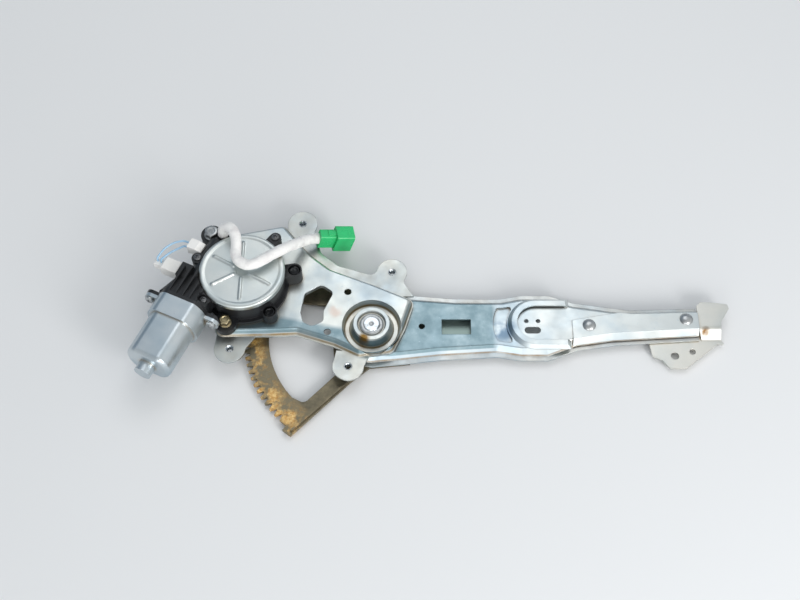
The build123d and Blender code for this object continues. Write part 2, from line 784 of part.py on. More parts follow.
with BuildPart() as commutator:
    with BuildSketch(motor_plane(commutator_from)):
        Circle(commutator_r)
        Circle(shaft_d / 2, mode=Mode.SUBTRACT)
        with PolarLocations(commutator_r, armature_slots, 18):
            Rectangle(1.6, 0.6, mode=Mode.SUBTRACT)
    extrude(amount=commutator_length)
commutator.part.label = "commutator"
export_step(commutator.part, "parts/commutator.step")

# ---------------------------------------------------------------- motor can
wide_end = flange_at + can_wide_length
boss_bore_r = shaft_d / 2 + 1.5


def can_section(radius, flat, edge=can_edge):
    """A circle with two flats, one up and one down, and rounded edges between."""
    with BuildSketch() as section:
        Circle(radius)
        Rectangle(2 * radius, 2 * flat, mode=Mode.INTERSECT)
        fillet(section.vertices(), edge)
    return section.sketch


with BuildPart() as motor_can:
    with BuildSketch(motor_plane(flange_at)):
        add(can_section(can_wide_r, can_wide_flat))
        with Locations((lug_reach, 0), (-lug_reach, 0)):
            Circle(lug_r)
        Rectangle(2 * lug_reach, 2 * lug_r)
        with Locations((lug_reach, 0), (-lug_reach, 0)):
            Circle(can_screw_r + seat_gap, mode=Mode.SUBTRACT)
    extrude(amount=2 * can_wall)
    with BuildSketch(motor_plane(flange_at)):
        add(can_section(can_wide_r, can_wide_flat))
    extrude(amount=can_wide_length)
    with BuildSketch(motor_plane(wide_end)):
        add(can_section(can_r, can_flat))
    extrude(amount=can_end - wide_end)
    end_plane = motor_plane(can_end)
    near_end = motor_can.edges().filter_by(lambda edge: (edge.center() - end_plane.origin).length < can_r)
    end_rim = near_end.filter_by(lambda edge: abs(end_plane.to_local_coords(edge.center()).Z) < 0.01)
    fillet(end_rim, can_end_edge)
    with BuildSketch(motor_plane(can_end - 1)):
        Circle(can_boss_r)
    extrude(amount=can_boss_length + 1)
    with BuildSketch(motor_plane(flange_at)):
        add(can_section(can_wide_r - can_wall, can_wide_flat - can_wall, can_edge - can_wall))
    extrude(amount=can_wide_length - can_wall, mode=Mode.SUBTRACT)
    with BuildSketch(motor_plane(flange_at)):
        add(can_section(can_r - can_wall, can_flat - can_wall, can_edge - can_wall))
    extrude(amount=can_length - can_wall - 2, mode=Mode.SUBTRACT)
    with BuildSketch(motor_plane(can_end - 4)):
        Circle(boss_bore_r)
    extrude(amount=can_boss_length + 2.5, mode=Mode.SUBTRACT)
motor_can.part.label = "motor_can"
export_step(motor_can.part, "parts/motor_can.step")

with BuildPart() as end_bearing:
    with BuildSketch(motor_plane(can_end + 0.5)):
        Circle(boss_bore_r)
        Circle(shaft_d / 2 + running_gap / 2, mode=Mode.SUBTRACT)
    extrude(amount=4)
end_bearing.part.label = "end_bearing"
export_step(end_bearing.part, "parts/end_bearing.step")

magnet_outer_r = can_r - can_wall - seat_gap
with BuildPart() as motor_magnets:
    with BuildSketch(motor_plane(core_from - 1)):
        Circle(magnet_outer_r)
        Circle(core_r + 0.8, mode=Mode.SUBTRACT)
        Rectangle(2 * can_r, 18, mode=Mode.INTERSECT)
    extrude(amount=core_length + 2)
motor_magnets.part.label = "motor_magnets"
export_step(motor_magnets.part, "parts/motor_magnets.step")


# ---------------------------------------------------------------- gear housing
neck_from = 20.0
screw_angle = [52.4, 160.0, 222.0]
screw_reach = [housing_r + out for out in (8.0, 6.0, 6.0)]
screw_places = [around_wheel(reach, angle) for reach, angle in zip(screw_reach, screw_angle)]
screw_d = 3.5
screw_head_r = 3.0
screw_ear_r = 4.8
bearing_r = 11.0
bearing_bottom = ear_bottom + 1.0
floor_top = panel_top + housing_wall
tunnel_r = 11.5
gland_angle = 115.7
gland_reach = housing_r + 7.1
gland_place = around_wheel(gland_reach, gland_angle)
gland_r = 5.2
gland_bottom = 36.0
gland_top = 43.0
cord_d = 9.0
cover_room = 0.2
head_room = 0.4
cover_bottom = cover_top - cover_skirt
# Both plugs point square to the motor's axis, away from the wheel
power_along = 18.4
power_root = 16.5          # from the motor's axis to the plug's inner end
power_length = 15.0
power_width = 11.0
power_bottom = 34.0
power_height = 10.5
signal_along = -7.0
signal_root = 9.6
signal_length = 12.4
signal_width = 9.0
signal_bottom = 34.0
signal_height = 9.5
plug_gap = 0.1
neck_across = 30.0         # width of the neck where it leaves the worm's tunnel
neck_edge = 10.0
rib_places = (-12, -6, 0, 6, 12)
neck_rib = 1.4
socket_wall = 0.8
screw_boss = 12.0          # depth of the ears for the cover's screws


def ear_shape(place, radius):
    """A round ear joined to the round case by a band as wide as itself."""
    way = Vector(place[0] - wheel_x, place[1] - wheel_y).normalized()
    side = Vector(-way.Y, way.X) * radius
    near = Vector(wheel_x, wheel_y) + way * (housing_r - 8)
    far = Vector(*place)
    with BuildSketch() as shape:
        with Locations(place):
            Circle(radius)
        with BuildLine():
            Polyline(far + side, near + side, near - side, far - side, close=True)
        make_face()
    return shape.sketch


with BuildPart() as gear_housing:
    # The round case on its foot
    with BuildSketch(wheel_plane(panel_top)):
        Circle(housing_r)
    extrude(amount=housing_height)
    with BuildSketch(wheel_plane(panel_top)):
        Circle(housing_r + 3)
    extrude(amount=3)
    # Posts that the motor's bolts pass down through
    for place, radius, top in zip(mount_places, mount_r, mount_tops):
        with BuildSketch(Plane.XY.offset(panel_top)):
            add(ear_shape(place, radius))
        extrude(amount=top - panel_top)
    # Ears for the cover's screws
    for place in screw_places:
        with BuildSketch(Plane.XY.offset(housing_top - screw_boss)):
            add(ear_shape(place, screw_ear_r))
        extrude(amount=screw_boss)
    # The worm's tunnel and the neck that widens to the can
    with BuildSketch(motor_plane(-worm_length / 2 - 9)):
        Circle(tunnel_r)
        Rectangle(2 * tunnel_r, 2 * tunnel_r - 1, mode=Mode.INTERSECT)
    extrude(amount=worm_length / 2 + 9 + neck_from)
    with BuildSketch(motor_plane(neck_from)):
        RectangleRounded(neck_across, 2 * tunnel_r - 1, 6)
    with BuildSketch(motor_plane(flange_at - flange_thickness)):
        RectangleRounded(2 * can_wide_r, 2 * can_wide_flat - 4, neck_edge)
    loft()
    with BuildSketch(motor_plane(flange_at - flange_thickness)):
        add(can_section(can_wide_r, can_wide_flat))
        with Locations((lug_reach, 0), (-lug_reach, 0)):
            Circle(lug_r)
        Rectangle(2 * lug_reach, 2 * lug_r)
    extrude(amount=flange_thickness)
    # Ribs along the neck
    for across in rib_places:
        with BuildSketch(motor_plane(neck_from - 4)):
            with Locations((across, 2)):
                Rectangle(neck_rib, 2 * can_wide_flat - 6)
        extrude(amount=flange_at - flange_thickness - neck_from + 4)
    # Nothing reaches under the plate's panel
    with BuildSketch(Plane.XY.offset(panel_top)):
        with Locations((wheel_x, wheel_y)):
            Circle(80)
        with BuildLine():
            Polyline((-128, 27), (-128, -40), (-200, -40), (-200, 27), close=True)
        make_face(mode=Mode.SUBTRACT)
    extrude(amount=-20, mode=Mode.SUBTRACT)
    # The pinion's bearing, down through the plate
    with BuildSketch(wheel_plane(bearing_bottom)):
        Circle(bearing_r)
    extrude(amount=panel_top - bearing_bottom)
    # Socket for the power plug on the neck's outer side, and the harness gland's seat
    with BuildSketch(motor_plane(power_along - power_width / 2 - socket_wall)):
        with Locations((-power_root + 5, power_bottom + power_height / 2 - worm_height)):
            Rectangle(10, power_height + 2 * socket_wall)
    extrude(amount=power_width + 2 * socket_wall)
    with BuildSketch(Plane.XY.offset(panel_top)):
        add(ear_shape(gland_place, gland_r + 1.5))
    extrude(amount=gland_bottom - panel_top)
    # Hollows
    with BuildSketch(wheel_plane(floor_top)):
        Circle(wheel_pocket_r)
    extrude(amount=housing_height, mode=Mode.SUBTRACT)
    with BuildSketch(wheel_plane(bearing_bottom)):
        Circle(output_shaft_d / 2 + running_gap / 2)
    extrude(amount=housing_height, mode=Mode.SUBTRACT)
    with BuildSketch(motor_plane(-worm_length / 2 - 2)):
        Circle(neck_bore_r)
    extrude(amount=flange_at + worm_length, mode=Mode.SUBTRACT)
    with BuildSketch(motor_plane(shaft_from)):
        Circle(shaft_d / 2 + running_gap / 2)
    extrude(amount=10, mode=Mode.SUBTRACT)
    with BuildSketch(motor_plane(signal_along - signal_width / 2 - plug_gap)):
        with Locations((-signal_root - 10 + plug_gap, signal_bottom + 10 - plug_gap - worm_height)):
            Rectangle(20, 20)
    extrude(amount=signal_width + 2 * plug_gap, mode=Mode.SUBTRACT)
    # Holes for bolts and screws
    with BuildSketch(Plane.XY.offset(panel_top)):
        with Locations(*mount_places):
            Circle(bolt_d / 2 + seat_gap)
    extrude(amount=housing_height, mode=Mode.SUBTRACT)
    for place, seat, across in zip(mount_places, mount_seats, bolt_across):
        with BuildSketch(Plane.XY.offset(seat)):
            with Locations(place):
                Circle(across / 3 ** 0.5 + head_room)
        extrude(amount=housing_height, mode=Mode.SUBTRACT)
    with BuildSketch(Plane.XY.offset(housing_top - 10)):
        with Locations(*screw_places):
            Circle(screw_d / 2 + seat_gap)
    extrude(amount=12, mode=Mode.SUBTRACT)
    with BuildSketch(motor_plane(flange_at - flange_thickness)):
        with Locations((lug_reach, 0), (-lug_reach, 0)):
            Circle(can_screw_r + seat_gap)
    extrude(amount=flange_thickness, mode=Mode.SUBTRACT)
    # Room for the cover, its skirt and the screws' heads
    with BuildSketch(wheel_plane(housing_top)):
        Circle(cover_r + cover_room)
    extrude(amount=housing_height, mode=Mode.SUBTRACT)
    with BuildSketch(wheel_plane(cover_bottom - cover_room)):
        Circle(cover_r + cover_room)
        Circle(housing_r, mode=Mode.SUBTRACT)
    extrude(amount=cover_skirt, mode=Mode.SUBTRACT)
    with BuildSketch(Plane.XY.offset(housing_top)):
        with Locations(*screw_places):
            Circle(screw_head_r + 0.8)
    extrude(amount=housing_height, mode=Mode.SUBTRACT)
gear_housing.part.label = "gear_housing"
export_step(gear_housing.part, "parts/gear_housing.step")

with BuildPart() as gear_cover:
    with BuildSketch(wheel_plane(cover_bottom)):
        Circle(cover_r)
    extrude(amount=cover_skirt)
    fillet(gear_cover.edges().sort_by(Axis.Z)[-1], 2.2)
    with BuildSketch(wheel_plane(cover_bottom)):
        Circle(cover_r - cover_gauge)
    extrude(amount=cover_top - cover_gauge - cover_bottom, mode=Mode.SUBTRACT)
    # Pressed radial ribs
    with BuildSketch(wheel_plane(cover_top)):
        with PolarLocations((rib_from + rib_to) / 2, cover_ribs, 30):
            SlotOverall(rib_to - rib_from, rib_width)
    extrude(amount=rib_height, taper=35)
gear_cover.part.label = "gear_cover"
export_step(gear_cover.part, "parts/gear_cover.step")

seal_height = cover_top - cover_gauge - housing_top
seal_margin = 0.6
with BuildPart() as cover_seal:
    with BuildSketch(wheel_plane(housing_top)):
        Circle(housing_r - seal_margin)
        Circle(wheel_pocket_r + seal_margin, mode=Mode.SUBTRACT)
    extrude(amount=seal_height)
cover_seal.part.label = "cover_seal"
export_step(cover_seal.part, "parts/cover_seal.step")

with BuildPart() as cover_screws:
    with BuildSketch(Plane.XY.offset(housing_top - 9)):
        with Locations(*screw_places):
            Circle(screw_d / 2)
    extrude(amount=9)
    with BuildSketch(Plane.XY.offset(housing_top)):
        with Locations(*screw_places):
            Circle(screw_head_r)
    extrude(amount=2.2)
cover_screws.part.label = "cover_screws"
export_step(cover_screws.part, "parts/cover_screws.step")

with BuildPart() as mount_bolts:
    for place, seat, across in zip(mount_places, mount_seats, bolt_across):
        with BuildSketch(Plane.XY.offset(ear_bottom)):
            with Locations(place):
                Circle(bolt_d / 2)
        extrude(amount=seat - ear_bottom)
        with BuildSketch(Plane.XY.offset(seat)):
            with Locations(place):
                RegularPolygon(across / 2, 6, major_radius=False)
        extrude(amount=bolt_head)
mount_bolts.part.label = "mount_bolts"
export_step(mount_bolts.part, "parts/mount_bolts.step")

with BuildPart() as can_screws:
    with BuildSketch(motor_plane(flange_at - flange_thickness)):
        with Locations((lug_reach, 0), (-lug_reach, 0)):
            Circle(can_screw_r)
    extrude(amount=flange_thickness + 2 * can_wall)
    with BuildSketch(motor_plane(flange_at + 2 * can_wall)):
        with Locations((lug_reach, 0), (-lug_reach, 0)):
            Circle(can_screw_head_r)
    extrude(amount=can_screw_head)
can_screws.part.label = "can_screws"
export_step(can_screws.part, "parts/can_screws.step")

# ---------------------------------------------------------------- brushes and their holder
brush_gap = 0.1
holder_inset = can_wall + brush_gap
with BuildPart() as brush_holder:
    with BuildSketch(motor_plane(flange_at)):
        add(can_section(can_wide_r - holder_inset, can_wide_flat - holder_inset, can_edge - can_wall))
        Circle(shaft_d / 2 + part_gap, mode=Mode.SUBTRACT)
    extrude(amount=2)
    with BuildSketch(motor_plane(flange_at + 2)):
        with Locations((12.5, 0), (-12.5, 0)):
            Rectangle(7, 9)
    extrude(amount=9)
    with BuildSketch(motor_plane(commutator_from + 1)):
        with Locations((12.5, 0), (-12.5, 0)):
            Rectangle(12, 5.2)
    extrude(amount=6, mode=Mode.SUBTRACT)
brush_holder.part.label = "brush_holder"
export_step(brush_holder.part, "parts/brush_holder.step")

with BuildPart() as carbon_brushes:
    with BuildSketch(motor_plane(commutator_from + 1.1)):
        with Locations((commutator_r + 4.2, 0), (-commutator_r - 4.2, 0)):
            Rectangle(8, 5)
    extrude(amount=5.8)
carbon_brushes.part.label = "carbon_brushes"
export_step(carbon_brushes.part, "parts/carbon_brushes.step")

# ---------------------------------------------------------------- plugs and their jumper wires


def plug_point(along, out, height):
    """A point beside the motor's axis: along it, out from it, and its height above the origin."""
    return motor_plane(along).from_local_coords((-out, height - worm_height, 0))


boot_length = 7.0
boot_size = 7.0
signal_low = signal_bottom - worm_height

with BuildPart() as power_plug:
    with BuildSketch(motor_plane(power_along - power_width / 2)):
        with Locations((-power_root - power_length / 2, power_bottom + power_height / 2 - worm_height)):
            RectangleRounded(power_length, power_height, 1.5)
    extrude(amount=power_width)
    # The wires' boot at its outer end
    with BuildSketch(motor_plane(power_along - boot_size / 2)):
        with Locations((-power_root - power_length - boot_length / 2, power_bottom + 5 - worm_height)):
            RectangleRounded(boot_length + 1, boot_size, 1.5)
    extrude(amount=boot_size)
power_plug.part.label = "power_plug"
export_step(power_plug.part, "parts/power_plug.step")

with BuildPart() as signal_plug:
    with BuildSketch(motor_plane(signal_along - signal_width / 2)):
        with BuildLine():
            Polyline(
                (-signal_root, signal_low), (-signal_root, signal_low + signal_height - 2),
                (-signal_root - 5, signal_low + signal_height),
                (-signal_root - signal_length, signal_low + signal_height),
                (-signal_root - signal_length, signal_low), close=True,
            )
        make_face()
    extrude(amount=signal_width)
signal_plug.part.label = "signal_plug"
export_step(signal_plug.part, "parts/signal_plug.step")


def corner_radii(points):
    """Arc radii that take 0.45 of the shorter run at each corner of a route."""
    radii = []
    for before, corner, after in zip(points, points[1:], points[2:]):
        run_in = Vector(*corner) - Vector(*before)
        run_out = Vector(*after) - Vector(*corner)
        half_turn = radians(run_in.get_angle(run_out)) / 2
        radii.append(0.45 * min(run_in.length, run_out.length) / tan(half_turn))
    return radii


wire_d = 1.6
boot_top = power_bottom + 5 + boot_size / 2
boot_middle = power_root + power_length + boot_length / 2
signal_end = signal_root + signal_length
wire_level = signal_bottom + signal_height / 2 + 1.5
outer_wire = [
    plug_point(power_along, boot_middle + 1.5, boot_top),
    plug_point(power_along, boot_middle + 1.5, boot_top + 4),
    plug_point(power_along - 9, boot_middle, boot_top + 6),
    plug_point(power_along - 18, boot_middle - 4, boot_top + 5),
    plug_point(signal_along - 1, signal_end + 6, wire_level),
    plug_point(signal_along - 1, signal_end, wire_level),
]
inner_wire = [
    plug_point(power_along, boot_middle - 1.7, boot_top),
    plug_point(power_along, boot_middle - 1.7, boot_top + 3.5),
    plug_point(power_along - 8, boot_middle - 5, boot_top + 4),
    plug_point(power_along - 15, boot_middle - 8, boot_top + 2),
    plug_point(signal_along + 2.2, signal_end + 4, wire_level - 2),
    plug_point(signal_along + 2.2, signal_end, wire_level - 2),
]
with BuildPart() as jumper_wires:
    for route in (outer_wire, inner_wire):
        with BuildLine() as wire_path:
            FilletPolyline(*route, radius=corner_radii([tuple(point) for point in route]))
        with BuildSketch(Plane(origin=route[0], z_dir=wire_path.line % 0)):
            Circle(wire_d / 2)
        sweep(path=wire_path.line)
jumper_wires.part.label = "jumper_wires"
export_step(jumper_wires.part, "parts/jumper_wires.step")

# ---------------------------------------------------------------- harness and its connector
with BuildPart() as harness_gland:
    with BuildSketch(Plane.XY.offset(gland_bottom)):
        with Locations(gland_place):
            Circle(gland_r)
    extrude(amount=gland_top - gland_bottom)
    # A groove round its waist
    with BuildSketch(Plane.XY.offset(gland_bottom + 2.5)):
        with Locations(gland_place):
            Circle(gland_r)
            Circle(gland_r - 0.7, mode=Mode.SUBTRACT)
    extrude(amount=1.2, mode=Mode.SUBTRACT)
harness_gland.part.label = "harness_gland"
export_step(harness_gland.part, "parts/harness_gland.step")

connector_back = (-44.8, 80.2, 25.1)
connector_length = 28.4
cord_route = [
    (gland_place[0], gland_place[1], gland_top),
    (gland_place[0], gland_place[1], 51),
    (-115.2, 71.2, 57.5),
    (-109.8, 65.4, 58.5),
    (-107.6, 57.5, 56.5),
    (-108.2, 50.5, 54.5),
    (-107.8, 43.5, 54.5),
    (-102.8, 37.9, 54.5),
    (-95.5, 36.3, 54.5),
    (-88.2, 39.6, 54.5),
    (-77.8, 47.2, 54),
    (-69, 56, 49.5),
    (-60.6, 68, 37),
    (-52.6, 78.6, 27.6),
    connector_back,
]
with BuildPart() as harness_cord:
    with BuildLine() as cord_path:
        FilletPolyline(*cord_route, radius=corner_radii(cord_route))
    with BuildSketch(Plane(origin=cord_route[0], z_dir=(0, 0, 1))):
        Circle(cord_d / 2)
    sweep(path=cord_path.line)
harness_cord.part.label = "harness_cord"
export_step(harness_cord.part, "parts/harness_cord.step")
print("harness radii", [round(radius, 1) for radius in corner_radii(cord_route)])
cord_length = sum(edge.length for edge in cord_path.edges())
print("harness length", round(cord_length, 1))
cord_volume = pi * cord_d ** 2 / 4 * cord_length
print("harness volume over section times length", round(harness_cord.part.volume / cord_volume, 4))

connector_way = (Vector(*cord_route[-1]) - Vector(*cord_route[-2])).normalized()
connector_side = Vector(-connector_way.Y, connector_way.X, 0).normalized()
connector_rear = 13.4      # length of the half that the harness enters
connector_depth = 13.5
connector_height = 20.0
connector_step = 2.2       # how far the front half stands out all round
mouth_depth = 7.0
skirt_gauge = 1.4
skirt_room = 1.5


def connector_plane(along):
    """A plane square to the connector's length, x level, y upwards."""
    origin = Vector(*connector_back) + connector_way * along
    return Plane(origin=origin, x_dir=connector_side, z_dir=connector_way)


with BuildPart() as connector_plug:
    with BuildSketch(connector_plane(0)):
        RectangleRounded(connector_depth - 2 * connector_step, connector_height - 2 * connector_step, 1.5)
    extrude(amount=connector_rear)
    with BuildSketch(connector_plane(connector_rear / 2)):
        with Locations((0, connector_height / 2 - connector_step)):
            Rectangle(5, 1.6)
    extrude(amount=connector_rear / 2)
connector_plug.part.label = "connector_plug"
export_step(connector_plug.part, "parts/connector_plug.step")

with BuildPart() as connector_shell:
    with BuildSketch(connector_plane(connector_rear)):
        RectangleRounded(connector_depth, connector_height, 2)
    extrude(amount=connector_length - connector_rear)
    # A skirt round the inner block, and the two terminals' slots
    with BuildSketch(connector_plane(connector_length - mouth_depth)):
        RectangleRounded(connector_depth - 2 * skirt_gauge, connector_height - 2 * skirt_gauge, 1)
        Rectangle(
            connector_depth - 2 * skirt_gauge - 2 * skirt_room,
            connector_height - 2 * skirt_gauge - 2 * skirt_room, mode=Mode.SUBTRACT,
        )
        with Locations((0, 3.5), (0, -3.5)):
            Rectangle(3.2, 3.2)
    extrude(amount=mouth_depth, mode=Mode.SUBTRACT)
connector_shell.part.label = "connector_shell"
export_step(connector_shell.part, "parts/connector_shell.step")

with BuildPart() as connector_terminals:
    with BuildSketch(connector_plane(connector_length - mouth_depth)):
        with Locations((0, 3.5), (0, -3.5)):
            Rectangle(0.8, 2.4)
    extrude(amount=mouth_depth - 1.5)
connector_terminals.part.label = "connector_terminals"
export_step(connector_terminals.part, "parts/connector_terminals.step")
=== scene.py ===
import json
from math import cos, pi, radians, sin, sqrt

import bmesh
import bpy
from mathutils import Matrix, Vector


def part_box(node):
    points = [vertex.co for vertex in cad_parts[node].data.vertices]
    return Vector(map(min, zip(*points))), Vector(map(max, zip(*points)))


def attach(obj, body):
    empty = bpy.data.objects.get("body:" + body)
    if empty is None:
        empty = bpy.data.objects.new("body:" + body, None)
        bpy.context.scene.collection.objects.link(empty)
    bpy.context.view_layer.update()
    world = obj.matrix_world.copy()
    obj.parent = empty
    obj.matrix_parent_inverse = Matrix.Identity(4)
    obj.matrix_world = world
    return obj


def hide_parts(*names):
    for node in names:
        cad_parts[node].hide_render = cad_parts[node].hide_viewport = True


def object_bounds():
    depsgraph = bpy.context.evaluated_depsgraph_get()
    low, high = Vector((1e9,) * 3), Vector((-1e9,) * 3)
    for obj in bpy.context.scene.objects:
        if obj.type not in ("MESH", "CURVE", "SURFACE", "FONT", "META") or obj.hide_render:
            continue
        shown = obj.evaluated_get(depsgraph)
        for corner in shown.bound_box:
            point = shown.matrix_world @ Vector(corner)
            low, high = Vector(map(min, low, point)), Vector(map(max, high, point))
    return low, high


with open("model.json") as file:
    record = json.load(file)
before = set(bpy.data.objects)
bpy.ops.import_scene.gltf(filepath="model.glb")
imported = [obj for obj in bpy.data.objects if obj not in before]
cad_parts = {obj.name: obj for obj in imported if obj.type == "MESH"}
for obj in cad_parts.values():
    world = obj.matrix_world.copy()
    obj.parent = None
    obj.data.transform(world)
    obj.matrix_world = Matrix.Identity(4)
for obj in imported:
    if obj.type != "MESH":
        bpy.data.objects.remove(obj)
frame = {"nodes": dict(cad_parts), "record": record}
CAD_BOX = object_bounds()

# Sizes are in millimetres, and MM turns them to metres. The frame, camera, floor and lamps are in metres.
MM = 0.001
UP = Vector((0, 0, 1))


# ---------------------------------------------------------------- places from the frame
def joint(name):
    """A joint of the record by its name."""
    for entry in frame["record"]["behaviour"]["joints"]:
        if entry["name"] == name:
            return entry


WORM_POINT = Vector(joint("motor_spin")["pos_m"])
MOTOR_WAY = Vector(joint("motor_spin")["axis"]).normalized()
WHEEL_POINT = Vector(joint("output_spin")["pos_m"])


def solid_boxes(node_name):
    """The lowest and highest corner of each separate solid of a node, sorted from left to right."""
    bm = bmesh.new()
    bm.from_mesh(frame["nodes"][node_name].data)
    bmesh.ops.remove_doubles(bm, verts=bm.verts, dist=0.002 * MM)
    left = set(bm.verts)
    boxes = []
    while left:
        stack = [left.pop()]
        group = [stack[0]]
        while stack:
            for edge in stack.pop().link_edges:
                for vertex in edge.verts:
                    if vertex in left:
                        left.remove(vertex)
                        group.append(vertex)
                        stack.append(vertex)
        low = Vector([min(vertex.co[axis] for vertex in group) for axis in range(3)])
        high = Vector([max(vertex.co[axis] for vertex in group) for axis in range(3)])
        boxes.append((low, high))
    bm.free()
    return sorted(boxes, key=lambda pair: pair[0].x)


def seats_below_top(node_name, head_height):
    """Where the heads of a node's fasteners sit: the middle of each solid, a head's height under its top."""
    return [Vector(((low.x + high.x) / 2, (low.y + high.y) / 2, high.z - head_height * MM))
            for low, high in solid_boxes(node_name)]


# ---------------------------------------------------------------- nodes and colours
MIX_FIRST = 6    # the colour sockets of a Mix node, which share their names with its other sockets
MIX_SECOND = 7
MIXED = 2


def add(tree, kind, inputs=None, **settings):
    """Adds one node with its settings, and sets or links its inputs."""
    made = tree.nodes.new(kind)
    for name, value in settings.items():
        setattr(made, name, value)
    for key, value in (inputs or {}).items():
        if isinstance(value, bpy.types.NodeSocket):
            tree.links.new(value, made.inputs[key])
        else:
            made.inputs[key].default_value = value
    return made


def srgb(code):
    """A hex sRGB colour as linear RGBA."""
    values = [int(code[i:i + 2], 16) / 255 for i in (1, 3, 5)]
    linear = [v / 12.92 if v <= 0.04045 else ((v + 0.055) / 1.055) ** 2.4 for v in values]
    return (*linear, 1.0)


def new_material(name, roughness=0.5, metallic=0.0, **sockets):
    """A new material, its tree and shader, and the piece's own coordinates."""
    material = bpy.data.materials.new(name)
    material.use_nodes = True
    tree = material.node_tree
    shader = tree.nodes["Principled BSDF"]
    shader.inputs["Roughness"].default_value = roughness
    shader.inputs["Metallic"].default_value = metallic
    for key, value in sockets.items():
        shader.inputs[key.replace("_", " ")].default_value = value
    place = add(tree, "ShaderNodeTexCoord").outputs["Object"]
    return material, tree, shader, place


# ---------------------------------------------------------------- patterns that several finishes share
def patches(tree, place, size_mm, detail=3.0, stretch=(1, 1, 1), rough=0.5):
    """Soft patches about size_mm across; a stretch below 1 draws them out along that axis."""
    mapped = add(tree, "ShaderNodeMapping", {"Vector": place, "Scale": stretch})
    return add(tree, "ShaderNodeTexNoise", {
        "Vector": mapped.outputs["Vector"], "Scale": 1 / (size_mm * MM),
        "Detail": detail, "Roughness": rough}).outputs["Fac"]


def clouded(tree, value, low, high, first, second):
    """A colour that passes into a second one as a value goes from low to high."""
    share = add(tree, "ShaderNodeMapRange", {"Value": value, "From Min": low, "From Max": high})
    mixed = add(tree, "ShaderNodeMix", {
        "Factor": share.outputs["Result"], MIX_FIRST: first, MIX_SECOND: second}, data_type="RGBA")
    return mixed.outputs[MIXED]


def tinted_by_stain_and_shade(tree, colour, where, film, tint, film_low, film_high, least=0.0, most=1.0):
    """Tints a colour where a real stain or a painted shade lies, from least to most of it as the film's
    patches thicken.
    """
    strength = add(tree, "ShaderNodeMapRange", {
        "Value": film, "From Min": film_low, "From Max": film_high, "To Min": least, "To Max": most})
    share = add(tree, "ShaderNodeMath", {0: where, 1: strength.outputs["Result"]}, operation="MULTIPLY")
    mixed = add(tree, "ShaderNodeMix", {
        "Factor": share.outputs["Value"], MIX_FIRST: colour, MIX_SECOND: srgb(tint)}, data_type="RGBA")
    return mixed.outputs[MIXED]


def round_mark(tree, place, centre_mm, reach_mm):
    """1 at a place seen from above, fading to 0 at a distance from it."""
    core_share = 0.3
    flat = add(tree, "ShaderNodeMapping", {"Vector": place, "Scale": (1, 1, 0)}).outputs["Vector"]
    off = add(tree, "ShaderNodeVectorMath", {0: flat, 1: (centre_mm[0] * MM, centre_mm[1] * MM, 0)},
              operation="DISTANCE").outputs["Value"]
    faded = add(tree, "ShaderNodeMapRange", {
        "Value": off, "From Min": core_share * reach_mm * MM, "From Max": reach_mm * MM,
        "To Min": 1.0, "To Max": 0.0}, interpolation_type="SMOOTHSTEP")
    return faded.outputs["Result"]


def band(tree, place, direction, low_mm, high_mm, ease_mm):
    """1 between two levels along a direction, easing to 0 outside them."""
    level = add(tree, "ShaderNodeVectorMath", {0: place, 1: direction}, operation="DOT_PRODUCT")
    above = add(tree, "ShaderNodeMapRange", {
        "Value": level.outputs["Value"], "From Min": (low_mm - ease_mm) * MM, "From Max": low_mm * MM})
    below = add(tree, "ShaderNodeMapRange", {
        "Value": level.outputs["Value"], "From Min": high_mm * MM, "From Max": (high_mm + ease_mm) * MM,
        "To Min": 1.0, "To Max": 0.0})
    return add(tree, "ShaderNodeMath", {
        0: above.outputs["Result"], 1: below.outputs["Result"]}, operation="MULTIPLY").outputs["Value"]


def relief(tree, shader, height, depth_mm, edge_mm=0.0):
    """Raises a finish by a height field, over edges that are eased by edge_mm."""
    inputs = {"Height": height, "Distance": depth_mm * MM, "Strength": 1.0}
    if edge_mm:
        eased_edges = add(tree, "ShaderNodeBevel", {"Radius": edge_mm * MM}, samples=4)
        inputs["Normal"] = eased_edges.outputs["Normal"]
    raised = add(tree, "ShaderNodeBump", inputs)
    tree.links.new(raised.outputs["Normal"], shader.inputs["Normal"])


# ---------------------------------------------------------------- finishes
NOISE_LOW = 0.3     # nearly all of a noise pattern lies between these two values
NOISE_HIGH = 0.7
# The blue-gray of the painted shade over an arm channel's floor and a plate panel's front.
PAINTED_FLOOR_SHADE = "#7E959D"


